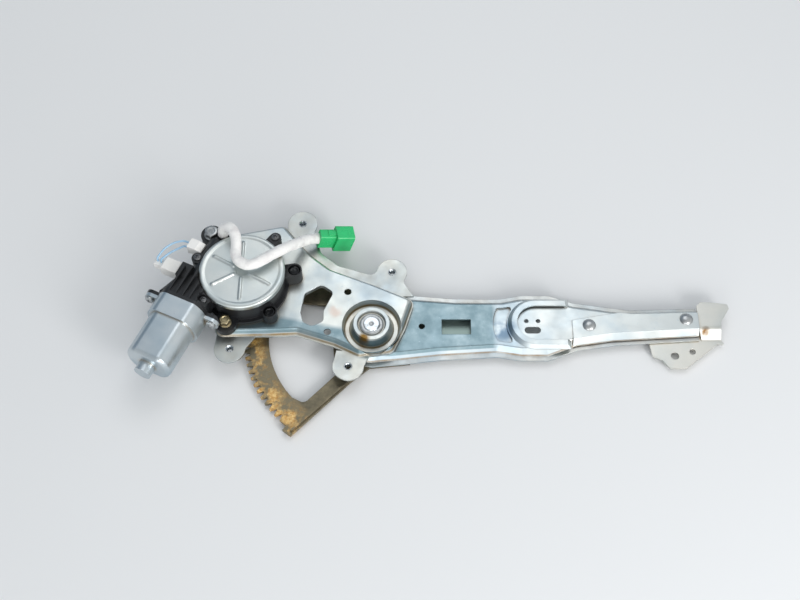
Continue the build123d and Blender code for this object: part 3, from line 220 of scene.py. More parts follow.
def zinc_sheet(name, main, cool, warm, rolling, edge_mm, stains_and_shades=(), channel=None, foot=None):
    """Electro-plated pressed sheet steel: pale metal clouded by its passivation, painted shade tinted tan in
    its corners and along the foot of its walls, painted blue-gray shade over a floor, and round marks of
    real stain and of painted shade."""
    material, tree, shader, place = new_material(name, metallic=1.0)
    clouds = patches(tree, place, 34, 4)
    film = patches(tree, place, 13, 5, rough=0.6)
    specks = patches(tree, place, 2.2, 3)
    colour = clouded(tree, clouds, 0.38, 0.7, srgb(main), srgb(cool))
    # Painted shade: the floor inside this band is darkened to a dull blue-gray, standing in for a darker
    # reflection.
    if channel:
        across = band(tree, place, channel["direction"], channel["low"], channel["high"], channel["ease"])
        level = band(tree, place, UP, channel["floor"], channel["top"], 0.5)
        inside = add(tree, "ShaderNodeMath", {0: across, 1: level}, operation="MULTIPLY").outputs["Value"]
        colour = tinted_by_stain_and_shade(tree, colour, inside, film, PAINTED_FLOOR_SHADE, 0.3, 0.6, 0.75, 1.0)
    if foot:
        # Painted shade: a tan line along the foot of the walls, where shade falls between a wall and its
        # lip.
        wall_foot_shade = band(tree, place, UP, foot["low"], foot["high"], foot["ease"])
        colour = tinted_by_stain_and_shade(tree, colour, wall_foot_shade, film, warm, NOISE_LOW, NOISE_HIGH, 0.45, 0.95)

    # Painted shade: ambient occlusion tints corners and creases tan, where shade falls.
    openness = add(tree, "ShaderNodeAmbientOcclusion", {"Distance": 3.5 * MM}, samples=6).outputs["AO"]
    corners = add(tree, "ShaderNodeMapRange", {
        "Value": openness, "From Min": 0.35, "From Max": 0.85, "To Min": 1.0, "To Max": 0.0})
    colour = tinted_by_stain_and_shade(tree, colour, corners.outputs["Result"], film, warm, NOISE_LOW, NOISE_HIGH, 0.35, 0.9)
    spangle = add(tree, "ShaderNodeMapRange", {
        "Value": specks, "From Min": 0.66, "From Max": 0.76, "To Max": 0.5}).outputs["Result"]
    colour = clouded(tree, spangle, 0.0, 1.0, colour, srgb(cool))
    # Round marks: real grease and rubbing, and the painted shade in the arm's moat.
    for centre_mm, reach_mm, tint in stains_and_shades:
        colour = tinted_by_stain_and_shade(tree, colour, round_mark(tree, place, centre_mm, reach_mm), film, tint, 0.36, 0.56)
    tree.links.new(colour, shader.inputs["Base Color"])
    roughness = add(tree, "ShaderNodeMapRange", {
        "Value": film, "From Min": NOISE_LOW, "From Max": NOISE_HIGH, "To Min": 0.3, "To Max": 0.44})
    tree.links.new(roughness.outputs["Result"], shader.inputs["Roughness"])

    # Real rolling lines are under 0.1 mm apart; these are drawn 0.9 mm apart, so that they show.
    lines = patches(tree, place, 0.9, 2, rolling)
    relief(tree, shader, lines, 0.02, edge_mm)
    return material


def turned_steel(name, colour, roughness):
    """Turned or cold-headed metal: a tight shine with faint gray stains, and tool marks drawn coarse enough
    to show."""
    material, tree, shader, place = new_material(name, roughness, 1.0)
    marks = patches(tree, place, 0.5, 2, (1, 1, 4))
    stain = patches(tree, place, 4, 3)
    colours = clouded(tree, stain, 0.5, 0.8, srgb(colour), srgb("#7E7F80"))
    tree.links.new(colours, shader.inputs["Base Color"])
    relief(tree, shader, marks, 0.015, 0.25)
    return material


def moulded(name, colour, shade, roughness, grain_mm, depth_mm, edge_mm=0.3):
    """Moulded plastic, rubber or ferrite: one colour, faintly uneven, with the fine grain of its mould."""
    material, tree, shader, place = new_material(name, roughness)
    cloud = patches(tree, place, 14, 3)
    grain = patches(tree, place, grain_mm, 2)
    colours = clouded(tree, cloud, 0.35, 0.75, srgb(colour), srgb(shade))
    tree.links.new(colours, shader.inputs["Base Color"])
    uneven = add(tree, "ShaderNodeMapRange", {
        "Value": cloud, "From Min": NOISE_LOW, "From Max": NOISE_HIGH,
        "To Min": roughness - 0.06, "To Max": roughness + 0.08})
    tree.links.new(uneven.outputs["Result"], shader.inputs["Roughness"])
    relief(tree, shader, grain, depth_mm, edge_mm)
    return material


def oiled_sector(name):
    """Blanked steel under oil: olive-brown, grayer under the arm, with golden grease along its teeth."""
    grease_from = 82     # radii about the pivot between which the grease comes in
    grease_full = 94
    material, tree, shader, place = new_material(name, metallic=0.75)
    radius = add(tree, "ShaderNodeVectorMath", {0: place}, operation="LENGTH").outputs["Value"]
    smear = patches(tree, place, 9, 5, rough=0.65)
    fine = patches(tree, place, 2.5, 4, rough=0.6)
    rim = add(tree, "ShaderNodeMapRange", {
        "Value": radius, "From Min": grease_from * MM, "From Max": grease_full * MM}).outputs["Result"]
    smeared = add(tree, "ShaderNodeMapRange", {"Value": smear, "From Min": 0.42, "From Max": 0.6})
    wet = add(tree, "ShaderNodeMath", {
        0: rim, 1: smeared.outputs["Result"]}, operation="MULTIPLY").outputs["Value"]

    steel = clouded(tree, smear, 0.35, 0.7, srgb("#857C66"), srgb("#5E594B"))
    under_arm = band(tree, place, (1, 0, 0), 45, 110, 8)
    steel = clouded(tree, under_arm, 0.0, 1.0, steel, srgb("#93A5A0"))
    grease = clouded(tree, fine, 0.4, 0.62, srgb("#B98A45"), srgb("#E0BE7C"))
    tree.links.new(clouded(tree, wet, 0.0, 1.0, steel, grease), shader.inputs["Base Color"])
    roughness = add(tree, "ShaderNodeMapRange", {"Value": wet, "To Min": 0.42, "To Max": 0.22})
    tree.links.new(roughness.outputs["Result"], shader.inputs["Roughness"])
    metal = add(tree, "ShaderNodeMapRange", {"Value": wet, "To Min": 0.8, "To Max": 0.2})
    tree.links.new(metal.outputs["Result"], shader.inputs["Metallic"])
    relief(tree, shader, fine, 0.12, 0.2)
    return material


def taped_cloth(name):
    """Woven harness tape: matt white, a little soiled, with threads that follow the cord's own UV map."""
    thread_mm = 0.45     # about twice the real spacing, so that the threads show
    material, tree, shader, place = new_material(name, 0.72, Sheen_Weight=0.25, Sheen_Roughness=0.5)
    uv = add(tree, "ShaderNodeUVMap", uv_map="UVMap").outputs["UV"]
    threads = add(tree, "ShaderNodeTexChecker", {"Vector": uv, "Scale": 1 / thread_mm}).outputs["Fac"]
    soil = patches(tree, place, 7, 4)
    colours = clouded(tree, soil, 0.5, 0.8, srgb("#F3F2F0"), srgb("#DAD6D6"))
    tree.links.new(colours, shader.inputs["Base Color"])
    relief(tree, shader, threads, 0.03)
    return material


def floor_paint(name):
    """Matt studio paint: an even pale ground that takes soft shadows."""
    material, _, shader, _ = new_material(name, 0.9)
    shader.inputs["Base Color"].default_value = srgb("#E9EAEB")
    return material


GREASE_BY_PIN = ((-5.6, -12.6), 6, "#8A6B3A")
RUBBED_PATCH = ((-29.4, 13), 8, "#D6C9BF")
MOAT_SHADE = ((106, 1), 14, "#7C92A6")
# A brown spot on the bracket by its bend.
BROWN_SPOT_ON_BRACKET = ((270.1, 0.8), 5, "#7A5A34")
# Painted shade: the blue-gray over the plate panel's front and over the arm channel's floor.
PLATE_FRONT = {"direction": (0.2, 1, 0), "low": -60, "high": -9, "ease": 4, "floor": 18, "top": 23}
# Painted shade: the heights of the tan line along the foot of the plate's and the arm's walls.
PLATE_FOOT_SHADE = {"low": 15.6, "high": 16.8, "ease": 0.7}
ARM_CHANNEL = {"direction": (1, 0, 0), "low": 14, "high": 97, "ease": 5, "floor": 10.4, "top": 12.9}
ARM_FOOT_SHADE = {"low": 6.9, "high": 7.7, "ease": 0.5}

FINISHES = {
    # The stamped plate: warm gray zinc, rolled from front to back, with painted blue-gray shade over its
    # front.
    "plate": zinc_sheet("zinc_plated_plate", main="#D4D7D2", cool="#AEBCC4", warm="#9A845F",
                        rolling=(1, 0.06, 1), edge_mm=0.7,
                        stains_and_shades=(GREASE_BY_PIN, RUBBED_PATCH), channel=PLATE_FRONT, foot=PLATE_FOOT_SHADE),
    # The lift arm and its cap: cooler zinc, with painted blue-gray shade along the channel's floor.
    "arm": zinc_sheet("zinc_plated_arm", main="#D3D8D7", cool="#AFC0CA", warm="#86725A",
                      rolling=(0.06, 1, 1), edge_mm=0.7,
                      stains_and_shades=(MOAT_SHADE,), channel=ARM_CHANNEL, foot=ARM_FOOT_SHADE),
    # The bent bracket: the palest sheet, with a brown spot by its bend.
    "bracket": zinc_sheet("zinc_plated_bracket", main="#E4E2DA", cool="#CDD1CE", warm="#A58C66",
                          rolling=(0.2, 1, 1), edge_mm=0.5,
                          stains_and_shades=(BROWN_SPOT_ON_BRACKET,)),
    # The lid: clean zinc, with painted shade, tinted tan, only beside its ribs.
    "cover": zinc_sheet("zinc_plated_lid", main="#D6DAD7", cool="#C2CCCD", warm="#877B66",
                        rolling=(1, 1, 1), edge_mm=0.3),
    # The drawn can: bluish zinc, with faint upright marks.
    "can": zinc_sheet("zinc_plated_can", main="#CCD4D8", cool="#A9BAC4", warm="#A98F68",
                      rolling=(1, 1, 0.1), edge_mm=0.4),

    # Zinc-plated screws and rivets: light gray and a little dull.
    "fastener": turned_steel("zinc_plated_fastener", "#B9BCBD", roughness=0.34),
    # Oiled steel screws: mid gray, half matt.
    "dark_fastener": turned_steel("oiled_steel_fastener", "#77787A", roughness=0.42),
    # Blackened bolts: nearly black, with a soft sheen on their edges.
    "black_fastener": turned_steel("blackened_fastener", "#2C2D2F", roughness=0.45),
    # Yellow-passivated zinc: a dull straw shine.
    "gold_fastener": turned_steel("yellow_passivated_fastener", "#B7A987", roughness=0.36),
    # Ground and turned steel: the brightest metal here.
    "bright": turned_steel("bright_steel", "#C4CBD0", roughness=0.24),
    # Stacked electrical sheet: gray and dull along its cut edges.
    "core": turned_steel("lamination_steel", "#6D7074", roughness=0.45),
    # Enamelled wire: a reddish shine.
    "copper": turned_steel("enamelled_copper", "#B5683A", roughness=0.35),
    # Sintered bronze: dull gold, as its pores scatter light.
    "bronze": turned_steel("sintered_bronze", "#9A7646", roughness=0.5),
    # Tinned brass: pale gold.
    "brass": turned_steel("tinned_brass", "#CDBE93", roughness=0.3),

    # Glass-filled nylon: black with a fine, half-matt grain.
    "nylon": moulded("black_glass_filled_nylon", "#17181A", "#222427",
                     roughness=0.4, grain_mm=0.5, depth_mm=0.03, edge_mm=0.4),
    # Unfilled nylon: white and satin.
    "white": moulded("white_nylon", "#F6F5F2", "#E9E7E2",
                     roughness=0.36, grain_mm=0.6, depth_mm=0.01),
    # Natural acetal: ivory and waxy.
    "acetal": moulded("natural_acetal", "#E4E1D6", "#D2CDBF",
                      roughness=0.35, grain_mm=0.6, depth_mm=0.01, edge_mm=0.2),
    # Connector plastic: clear green, glossy from a polished mould.
    "green": moulded("green_connector_plastic", "#2FC878", "#1FA961",
                     roughness=0.28, grain_mm=0.5, depth_mm=0.01, edge_mm=0.35),
    # Rubber: black and matt.
    "rubber": moulded("black_rubber", "#1B1B1C", "#29292A",
                      roughness=0.6, grain_mm=0.6, depth_mm=0.03),
    # Extruded wire sleeve: pale blue with a soft gloss.
    "blue_wire": moulded("pale_blue_wire_sleeve", "#A9CDE6", "#8DB9DA",
                         roughness=0.35, grain_mm=0.6, depth_mm=0.005, edge_mm=0.0),
    # Pressed ferrite and carbon: dark gray and dry.
    "ferrite": moulded("dark_ferrite", "#2A2A2C", "#37373A",
                       roughness=0.6, grain_mm=0.5, depth_mm=0.02),

    "sector": oiled_sector("oiled_sector_steel"),
    "tape": taped_cloth("white_harness_tape"),
    "floor": floor_paint("studio_floor_paint"),
}

NODE_FINISH = {
    "base_plate": "plate", "weld_nuts": "fastener", "pivot_pin": "bright", "pivot_washer": "acetal",
    "gear_housing": "nylon", "gear_cover": "cover", "cover_seal": "rubber", "cover_screws": "fastener",
    "mount_bolts": "fastener", "motor_can": "can", "can_screws": "fastener", "end_bearing": "bronze",
    "motor_magnets": "ferrite", "brush_holder": "nylon", "carbon_brushes": "ferrite", "power_plug": "white",
    "signal_plug": "white", "jumper_wires": "blue_wire", "harness_gland": "rubber", "harness_cord": "tape",
    "connector_plug": "green", "connector_shell": "green", "connector_terminals": "brass",
    "armature_shaft": "bright", "armature_core": "core", "armature_windings": "copper",
    "commutator": "copper", "output_shaft": "bright", "worm_wheel": "acetal", "sector_gear": "sector",
    "lift_arm": "arm", "arm_cap": "arm", "arm_rivets": "bright", "tip_bracket": "bracket",
    "pivot_bush": "acetal",
}
for node_name, finish in NODE_FINISH.items():
    shown = frame["nodes"][node_name]
    shown.data.materials.clear()
    shown.data.materials.append(FINISHES[finish])


def link(name, mesh, material=None):
    """A new object for a mesh, at the origin."""
    made = bpy.data.objects.new(name, mesh)
    bpy.context.collection.objects.link(made)
    if material:
        mesh.materials.clear()
        mesh.materials.append(material)
    return made


# ---------------------------------------------------------------- camera, floor and light
CAMERA_PLACE = (0.0228, -0.4573, 0.8541)
CAMERA_TILT = radians(30)
IMAGE_WIDTH = 800        # pixels
FOCAL_LENGTH = 1187.5    # pixels
SENSOR_WIDTH = 36
FLOOR_HALF = 4.0         # metres from the middle to an edge
FLOOR_GAP = 0.2          # under the object
LAMP_TARGET = (0.03, 0.02, 0.02)
ROOM_SLOPE = (0.55, -0.75, 0.3)     # the way in which the room gets brighter
ROOM_DIM = -0.7                     # the levels along it at which the room is dimmest and brightest
ROOM_BRIGHT = 0.75
SKIRTING_LOW = 0.06                 # the pale strip over the floor's edge fades between these heights
SKIRTING_HIGH = 0.2
ROOM_STRENGTH = 0.78


def make_camera():
    """The camera: above and a little in front of the object, tipped forwards to see it whole."""
    data = bpy.data.cameras.new("camera")
    data.sensor_width = SENSOR_WIDTH
    data.lens = FOCAL_LENGTH * SENSOR_WIDTH / IMAGE_WIDTH
    data.clip_start = 10 * MM
    camera = bpy.data.objects.new("camera", data)
    camera.location = CAMERA_PLACE
    camera.rotation_euler = (CAMERA_TILT, 0, 0)
    bpy.context.collection.objects.link(camera)
    bpy.context.scene.camera = camera


def make_floor():
    """A wide floor just under the object."""
    low = CAD_BOX[0][2] - FLOOR_GAP * MM
    corners = [(x * FLOOR_HALF, y * FLOOR_HALF, low) for x, y in ((-1, -1), (1, -1), (1, 1), (-1, 1))]
    mesh = bpy.data.meshes.new("studio_floor")
    mesh.from_pydata(corners, [], [(0, 1, 2, 3)])
    link("studio_floor", mesh, FINISHES["floor"])


def make_lamp(name, place, size, power):
    """A soft square lamp aimed at the object."""
    data = bpy.data.lights.new(name, "AREA")
    data.energy = power
    data.size = size
    lamp = bpy.data.objects.new(name, data)
    lamp.location = place
    lamp.rotation_euler = (Vector(LAMP_TARGET) - Vector(place)).to_track_quat("-Z", "Y").to_euler()
    bpy.context.collection.objects.link(lamp)


def make_room():
    """A plain pale room: white at the front right, cooler at the back left, pale over the floor's edge."""
    world = bpy.data.worlds.new("studio")
    bpy.context.scene.world = world
    world.use_nodes = True
    tree = world.node_tree
    way = add(tree, "ShaderNodeTexCoord").outputs["Generated"]
    side = add(tree, "ShaderNodeVectorMath", {0: way, 1: ROOM_SLOPE}, operation="DOT_PRODUCT")
    walls = clouded(tree, side.outputs["Value"], ROOM_DIM, ROOM_BRIGHT, srgb("#8D9FB0"), srgb("#FFFFFD"))
    height = add(tree, "ShaderNodeSeparateXYZ", {"Vector": way}).outputs["Z"]
    room = clouded(tree, height, SKIRTING_LOW, SKIRTING_HIGH, srgb("#E6E8EA"), walls)
    background = tree.nodes["Background"]
    background.inputs["Strength"].default_value = ROOM_STRENGTH
    tree.links.new(room, background.inputs["Color"])


bpy.context.scene.view_settings.view_transform = "Standard"
make_camera()
make_floor()
make_room()
make_lamp("key", place=(0.85, -0.95, 0.62), size=0.45, power=8)
make_lamp("front", place=(-0.12, -1.3, 0.42), size=0.8, power=4)
make_lamp("overhead", place=(0.12, 0.62, 1.15), size=0.7, power=2.5)


# ---------------------------------------------------------------- the harness
CORD_D = 9.0
GLAND_LOW, GLAND_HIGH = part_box("harness_gland")
EXIT_X = (GLAND_LOW.x + GLAND_HIGH.x) / 2 / MM
EXIT_Y = (GLAND_LOW.y + GLAND_HIGH.y) / 2 / MM
CORD_EXIT = (EXIT_X, EXIT_Y, GLAND_HIGH.z / MM)
CORD_ROUTE = [
    CORD_EXIT,
    (EXIT_X, EXIT_Y, 51),
    (-115.2, 71.2, 57.5),
    (-109.8, 65.4, 58.5),
    (-107.6, 57.5, 56.5),
    (-108.2, 50.5, 54.5),
    (-107.8, 43.5, 54.5),
    (-102.8, 37.9, 54.5),
    (-95.5, 36.3, 54.5),
    (-88.2, 39.6, 54.5),
    (-77.8, 47.2, 54),
    (-69, 56, 49.5),
    (-60.6, 68, 37),
    (-52.6, 78.6, 27.6),
    (-44.8, 80.2, 25.1),
]
TAPE_PITCH = 8.5        # how far the tape moves on in each turn
TAPE_STEP = 0.28        # how high a turn's edge stands on the last one
TAPE_EDGE_SHARE = 0.06  # the share of a turn in which that edge rises
TAPE_INSET = 0.32       # keeps the highest edge inside the cord's diameter


def spline_line(points, resolution):
    """The smooth line of a NURBS spline whose control points are given in millimetres."""
    data = bpy.data.curves.new("route", "CURVE")
    data.dimensions = "3D"
    spline = data.splines.new("NURBS")
    spline.points.add(len(points) - 1)
    for point, place in zip(spline.points, points):
        point.co = (place[0] * MM, place[1] * MM, place[2] * MM, 1)
    spline.order_u = 3
    spline.use_endpoint_u = True
    spline.resolution_u = resolution
    holder = bpy.data.objects.new("route", data)
    bpy.context.collection.objects.link(holder)
    mesh = bpy.data.meshes.new_from_object(holder.evaluated_get(bpy.context.evaluated_depsgraph_get()))
    line = [vertex.co.copy() for vertex in mesh.vertices]
    bpy.data.objects.remove(holder)
    bpy.data.meshes.remove(mesh)
    return line


def even_line(line, step_mm):
    """The same line with its points an even step apart, and its length."""
    runs = [0.0]
    for first, second in zip(line, line[1:]):
        runs.append(runs[-1] + (second - first).length)
    length = runs[-1]
    count = int(length / (step_mm * MM))
    even = []
    index = 0
    for number in range(count + 1):
        want = length * number / count
        while index < len(runs) - 2 and runs[index + 1] < want:
            index += 1
        share = (want - runs[index]) / (runs[index + 1] - runs[index])
        even.append(line[index].lerp(line[index + 1], min(share, 1)))
    return even, length


def tape_radius(run, angle):
    """The harness's radius at a distance along it and an angle round it: tape turns over lumpy wires."""
    turn = (run / TAPE_PITCH + angle / (2 * pi)) % 1.0
    edge = min(turn / TAPE_EDGE_SHARE, 1.0)
    lumps = 0.12 * sin(run / 2.7 + 2 * angle) + 0.1 * sin(run / 5.3 + angle)
    return CORD_D / 2 - TAPE_INSET + TAPE_STEP * (edge - turn * 0.8) + lumps


def tube(name, line, radius_at, sides, material):
    """A closed tube round a line, with a UV map in millimetres round it and along it."""
    bm = bmesh.new()
    uv_layer = bm.loops.layers.uv.new("UVMap")
    around = pi * CORD_D
    side = Vector((0, 1, 0))
    rings = []
    run = 0.0
    for index, centre in enumerate(line):
        ahead = line[min(index + 1, len(line) - 1)] - line[max(index - 1, 0)]
        ahead.normalize()
        side = (side - ahead * side.dot(ahead)).normalized()
        other = ahead.cross(side)
        if index:
            run += (centre - line[index - 1]).length
        ring = []
        for step in range(sides):
            angle = 2 * pi * step / sides
            out = side * cos(angle) + other * sin(angle)
            ring.append(bm.verts.new(centre + out * radius_at(run / MM, angle) * MM))
        rings.append((ring, run / MM))
    for (first, low), (second, high) in zip(rings, rings[1:]):
        for step in range(sides):
            after = (step + 1) % sides
            face = bm.faces.new((first[step], first[after], second[after], second[step]))
            face.smooth = True
            corners = ((step, low), (step + 1, low), (step + 1, high), (step, high))
            for loop, (across, along) in zip(face.loops, corners):
                loop[uv_layer].uv = (across / sides * around, along)
    bm.faces.new(list(reversed(rings[0][0])))
    bm.faces.new(rings[-1][0])
    bmesh.ops.recalc_face_normals(bm, faces=bm.faces)
    mesh = bpy.data.meshes.new(name)
    bm.to_mesh(mesh)
    bm.free()
    return link(name, mesh, material)


def make_harness():
    """The taped harness, from its gland over the lid to the connector."""
    line, length = even_line(spline_line(CORD_ROUTE, resolution=24), step_mm=0.45)
    cord = tube("harness", line, tape_radius, 40, FINISHES["tape"])
    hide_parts("harness_cord")
    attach(cord, "base")


make_harness()


# ---------------------------------------------------------------- turned and pressed bodies
def eased(value):
    """A smooth step from 0 to 1."""
    value = min(max(value, 0.0), 1.0)
    return value * value * (3 - 2 * value)


def ring_of(bm, sides, point_at):
    """A ring of points, each given by its angle."""
    return [bm.verts.new(point_at(2 * pi * step / sides)) for step in range(sides)]


def skin(bm, rings):
    """Joins each ring of points to the next with faces."""
    for first, second in zip(rings, rings[1:]):
        for step in range(len(first)):
            after = (step + 1) % len(first)
            bm.faces.new((first[step], first[after], second[after], second[step]))


def turned(bm, profile, sides=48, across=0.0, closed=False, matrix=Matrix()):
    """Turns a profile of (radius, height) in millimetres about Z; across cuts it to a hexagon."""
    rows = []
    for radius, height in profile:
        def point_at(angle):
            reach = radius
            if across:
                reach = min(radius, across / 2 / cos(angle % (pi / 3) - pi / 6))
            return matrix @ Vector((reach * cos(angle), reach * sin(angle), height)) * MM
        rows.append(ring_of(bm, sides if radius else 1, point_at))
    pairs = list(zip(rows, rows[1:]))
    if closed:
        pairs.append((rows[-1], rows[0]))
    for first, second in pairs:
        for step in range(sides):
            after = (step + 1) % sides
            corners = [first[step % len(first)], first[after % len(first)],
                       second[after % len(second)], second[step % len(second)]]
            corners = list(dict.fromkeys(corners))
            if len(corners) > 2:
                bm.faces.new(corners)


def finished(name, bm, material=None, smooth_degrees=35):
    """Closes a bmesh into an object: normals outwards, smooth where the surface is smooth."""
    bmesh.ops.remove_doubles(bm, verts=bm.verts, dist=0.0001 * MM)
    bmesh.ops.recalc_face_normals(bm, faces=bm.faces)
    for face in bm.faces:
        face.smooth = True
    for edge in bm.edges:
        if len(edge.link_faces) == 2 and edge.calc_face_angle() > radians(smooth_degrees):
            edge.smooth = False
    mesh = bpy.data.meshes.new(name)
    bm.to_mesh(mesh)
    bm.free()
    return link(name, mesh, material)


def repeat_tree():
    """Geometry nodes: a head set on every point, each turned a little, made real."""
    tree = bpy.data.node_groups.new("fasteners_on_points", "GeometryNodeTree")
    for name, kind in (("Points", "Geometry"), ("Head", "Object"), ("Turn", "Float"), ("Seed", "Int"),
                       ("Finish", "Material")):
        tree.interface.new_socket(name, in_out="INPUT", socket_type="NodeSocket" + kind)
    tree.interface.new_socket("Fasteners", in_out="OUTPUT", socket_type="NodeSocketGeometry")
    given = add(tree, "NodeGroupInput").outputs
    head = add(tree, "GeometryNodeObjectInfo", {"Object": given["Head"]})
    turn = add(tree, "FunctionNodeRandomValue", {
        "Max": given["Turn"], "Seed": given["Seed"]}, data_type="FLOAT")
    angles = add(tree, "ShaderNodeCombineXYZ", {"Z": turn.outputs["Value"]})
    placed = add(tree, "GeometryNodeInstanceOnPoints", {
        "Points": given["Points"], "Instance": head.outputs["Geometry"],
        "Rotation": angles.outputs["Vector"]})
    real = add(tree, "GeometryNodeRealizeInstances", {"Geometry": placed.outputs["Instances"]})
    painted = add(tree, "GeometryNodeSetMaterial", {
        "Geometry": real.outputs["Geometry"], "Material": given["Finish"]})
    add(tree, "NodeGroupOutput", {"Fasteners": painted.outputs["Geometry"]})
    return tree


REPEAT = repeat_tree()


def set_on(name, head, places, material, turn=0.0, seed=1):
    """Sets copies of a head at places in metres and returns one plain mesh object."""
    mesh = bpy.data.meshes.new(name)
    mesh.from_pydata([tuple(place) for place in places], [], [])
    holder = link(name, mesh)
    modifier = holder.modifiers.new("fasteners", "NODES")
    modifier.node_group = REPEAT
    values = {"Head": head, "Turn": turn, "Seed": seed, "Finish": material}
    for item in REPEAT.interface.items_tree:
        if item.in_out == "INPUT" and item.name in values:
            modifier[item.identifier] = values[item.name]
    evaluated = holder.evaluated_get(bpy.context.evaluated_depsgraph_get())
    result = bpy.data.meshes.new_from_object(evaluated)
    holder.modifiers.remove(modifier)
    holder.data = result
    bpy.data.objects.remove(head)
    return holder


def hand_over(piece, replaced, body):
    """Hides the node that a piece replaces, if any, and attaches the piece to the body that it rides on."""
    if replaced:
        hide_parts(replaced)
    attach(piece, body)


# ---------------------------------------------------------------- bolts, screws, rivets and nuts
BOLT_HEAD_HEIGHT = 6.0
BOLT_SHANK_R = 2.9
BOLT_SHANK = 5.0
WASHER_LIP = 0.25            # how far a bolt's washer stands out past its corners
BOLT_ACROSS = 10.0           # the bright bolt's hexagon
SMALL_BOLT_ACROSS = 8.0
COVER_SCREW_HEIGHT = 2.2
CAN_SCREW_SEAT = 47.8        # along the motor's axis from the worm
RIVET_DOME = 2.6
NUT_FLANGE_R = 6.0
NUT_COLLAR_R = 3.25
NUT_COLLAR = 1.75            # how far the collar stands up into the ear
THREAD_R = 2.5
THREAD_DEPTH = 0.45
THREAD_PITCH = 1.0


def hex_head(across, height, washer_r, shank_r, shank):
    """A hexagon bolt: chamfered head with a dished top, its pressed washer and its shank."""
    dish = 0.5
    chamfer = 0.58
    corner_r = across / sqrt(3)
    top_r = across * 0.47
    chamfered = [(r, height - (r - top_r) * chamfer) for r in (across * 0.5, across * 0.54, corner_r)]
    bm = bmesh.new()
    turned(bm, [(0, height - dish), (across * 0.28, height - dish), (across * 0.34, height), (top_r, height),
                *chamfered, (corner_r, 1.0), (0, 1.0)], 72, across)
    turned(bm, [(0, 1.2), (washer_r - 0.5, 1.2), (washer_r, 0.9), (washer_r, 0.1), (washer_r - 0.2, 0),
                (0, 0)])
    turned(bm, [(0, 0.5), (shank_r, 0.5), (shank_r, -shank), (0, -shank)], 32)
    return finished("head", bm)


def cross_head(radius, height, shank_r, shank, matrix=Matrix()):
    """A low round head with a cross recess, and its shank."""
    rings = 14
    sides = 64
    dome_share = 0.86
    cross_half = radius * 0.13
    cross_reach = radius * 0.55
    cross_depth = 0.9
    bm = bmesh.new()
    rows = []
    for number in range(rings + 1):
        reach = radius * number / rings

        def top_point(angle):
            x = reach * cos(angle)
            y = reach * sin(angle)
            level = height * sqrt(max(1 - (reach / radius * dome_share) ** 2, 0))
            if min(abs(x), abs(y)) < cross_half and max(abs(x), abs(y)) < cross_reach:
                level -= cross_depth
            return matrix @ Vector((x * MM, y * MM, level * MM))
        rows.append(ring_of(bm, sides, top_point))
    rows.append(ring_of(bm, sides, lambda angle: matrix @ Vector((
        radius * cos(angle) * MM, radius * sin(angle) * MM, 0))))
    skin(bm, rows)
    bm.faces.new(rows[-1])
    turned(bm, [(0, 0.3), (shank_r, 0.3), (shank_r, -shank), (0, -shank)], 24, matrix=matrix)
    return finished("head", bm)


def make_mount_bolts():
    """The four bolts that hold the motor: one bright, one golden, two blackened and sunk in their posts."""
    seats = {"lower_left": [], "upper_left": [], "right": []}
    for seat in seats_below_top("mount_bolts", BOLT_HEAD_HEIGHT):
        if seat.x > WHEEL_POINT.x - 5 * MM:
            seats["right"].append(seat)
        elif seat.y > WHEEL_POINT.y:
            seats["upper_left"].append(seat)
        else:
            seats["lower_left"].append(seat)
    for name, across, finish, seed in (("lower_left", SMALL_BOLT_ACROSS, "gold_fastener", 3),
                                       ("upper_left", BOLT_ACROSS, "fastener", 5),
                                       ("right", SMALL_BOLT_ACROSS, "black_fastener", 8)):
        washer_r = across / sqrt(3) + WASHER_LIP
        head = hex_head(across, BOLT_HEAD_HEIGHT, washer_r, BOLT_SHANK_R, BOLT_SHANK)
        piece = set_on("mount_bolts_" + name, head, seats[name], FINISHES[finish], radians(60), seed)
        hand_over(piece, "mount_bolts", "base")


def make_cover_screws():
    """The lid's small cross-head screws."""
    seats = seats_below_top("cover_screws", COVER_SCREW_HEIGHT)
    head = cross_head(radius=3.0, height=COVER_SCREW_HEIGHT, shank_r=1.7, shank=3.0)
    piece = set_on("cover_screws_set", head, seats, FINISHES["dark_fastener"], turn=radians(80), seed=4)
    hand_over(piece, "cover_screws", "base")


def make_can_screws():
    """The two screws that clamp the can's lugs to the neck, with their heads towards the can's end."""
    turn = Matrix((UP, MOTOR_WAY.cross(UP), MOTOR_WAY)).transposed().to_4x4()
    seats = []
    for low, high in solid_boxes("can_screws"):
        middle = (low + high) / 2
        along = (middle - WORM_POINT).dot(MOTOR_WAY)
        seats.append(middle + MOTOR_WAY * (CAN_SCREW_SEAT * MM - along))
    head = cross_head(radius=4.0, height=2.8, shank_r=1.9, shank=4.5, matrix=turn)
    piece = set_on("can_screws_set", head, seats, FINISHES["fastener"])
    hand_over(piece, "can_screws", "base")


def make_arm_rivets():
    """The two domed rivets, each with a faint flat where the tool struck it."""
    dome = [(0, 0), (1.2, 0), (2.0, 0.1), (3.2, 0.5), (4.3, 1.15), (5.0, 1.9)]
    profile = [(radius, RIVET_DOME - fall) for radius, fall in dome]
    profile += [(5.3, 0.25), (5.2, 0), (2.4, 0), (2.4, -3.2), (0, -3.2)]
    bm = bmesh.new()
    turned(bm, profile)
    seats = seats_below_top("arm_rivets", RIVET_DOME)
    piece = set_on("arm_rivet_heads", finished("head", bm), seats, FINISHES["fastener"])
    hand_over(piece, "arm_rivets", "arm")


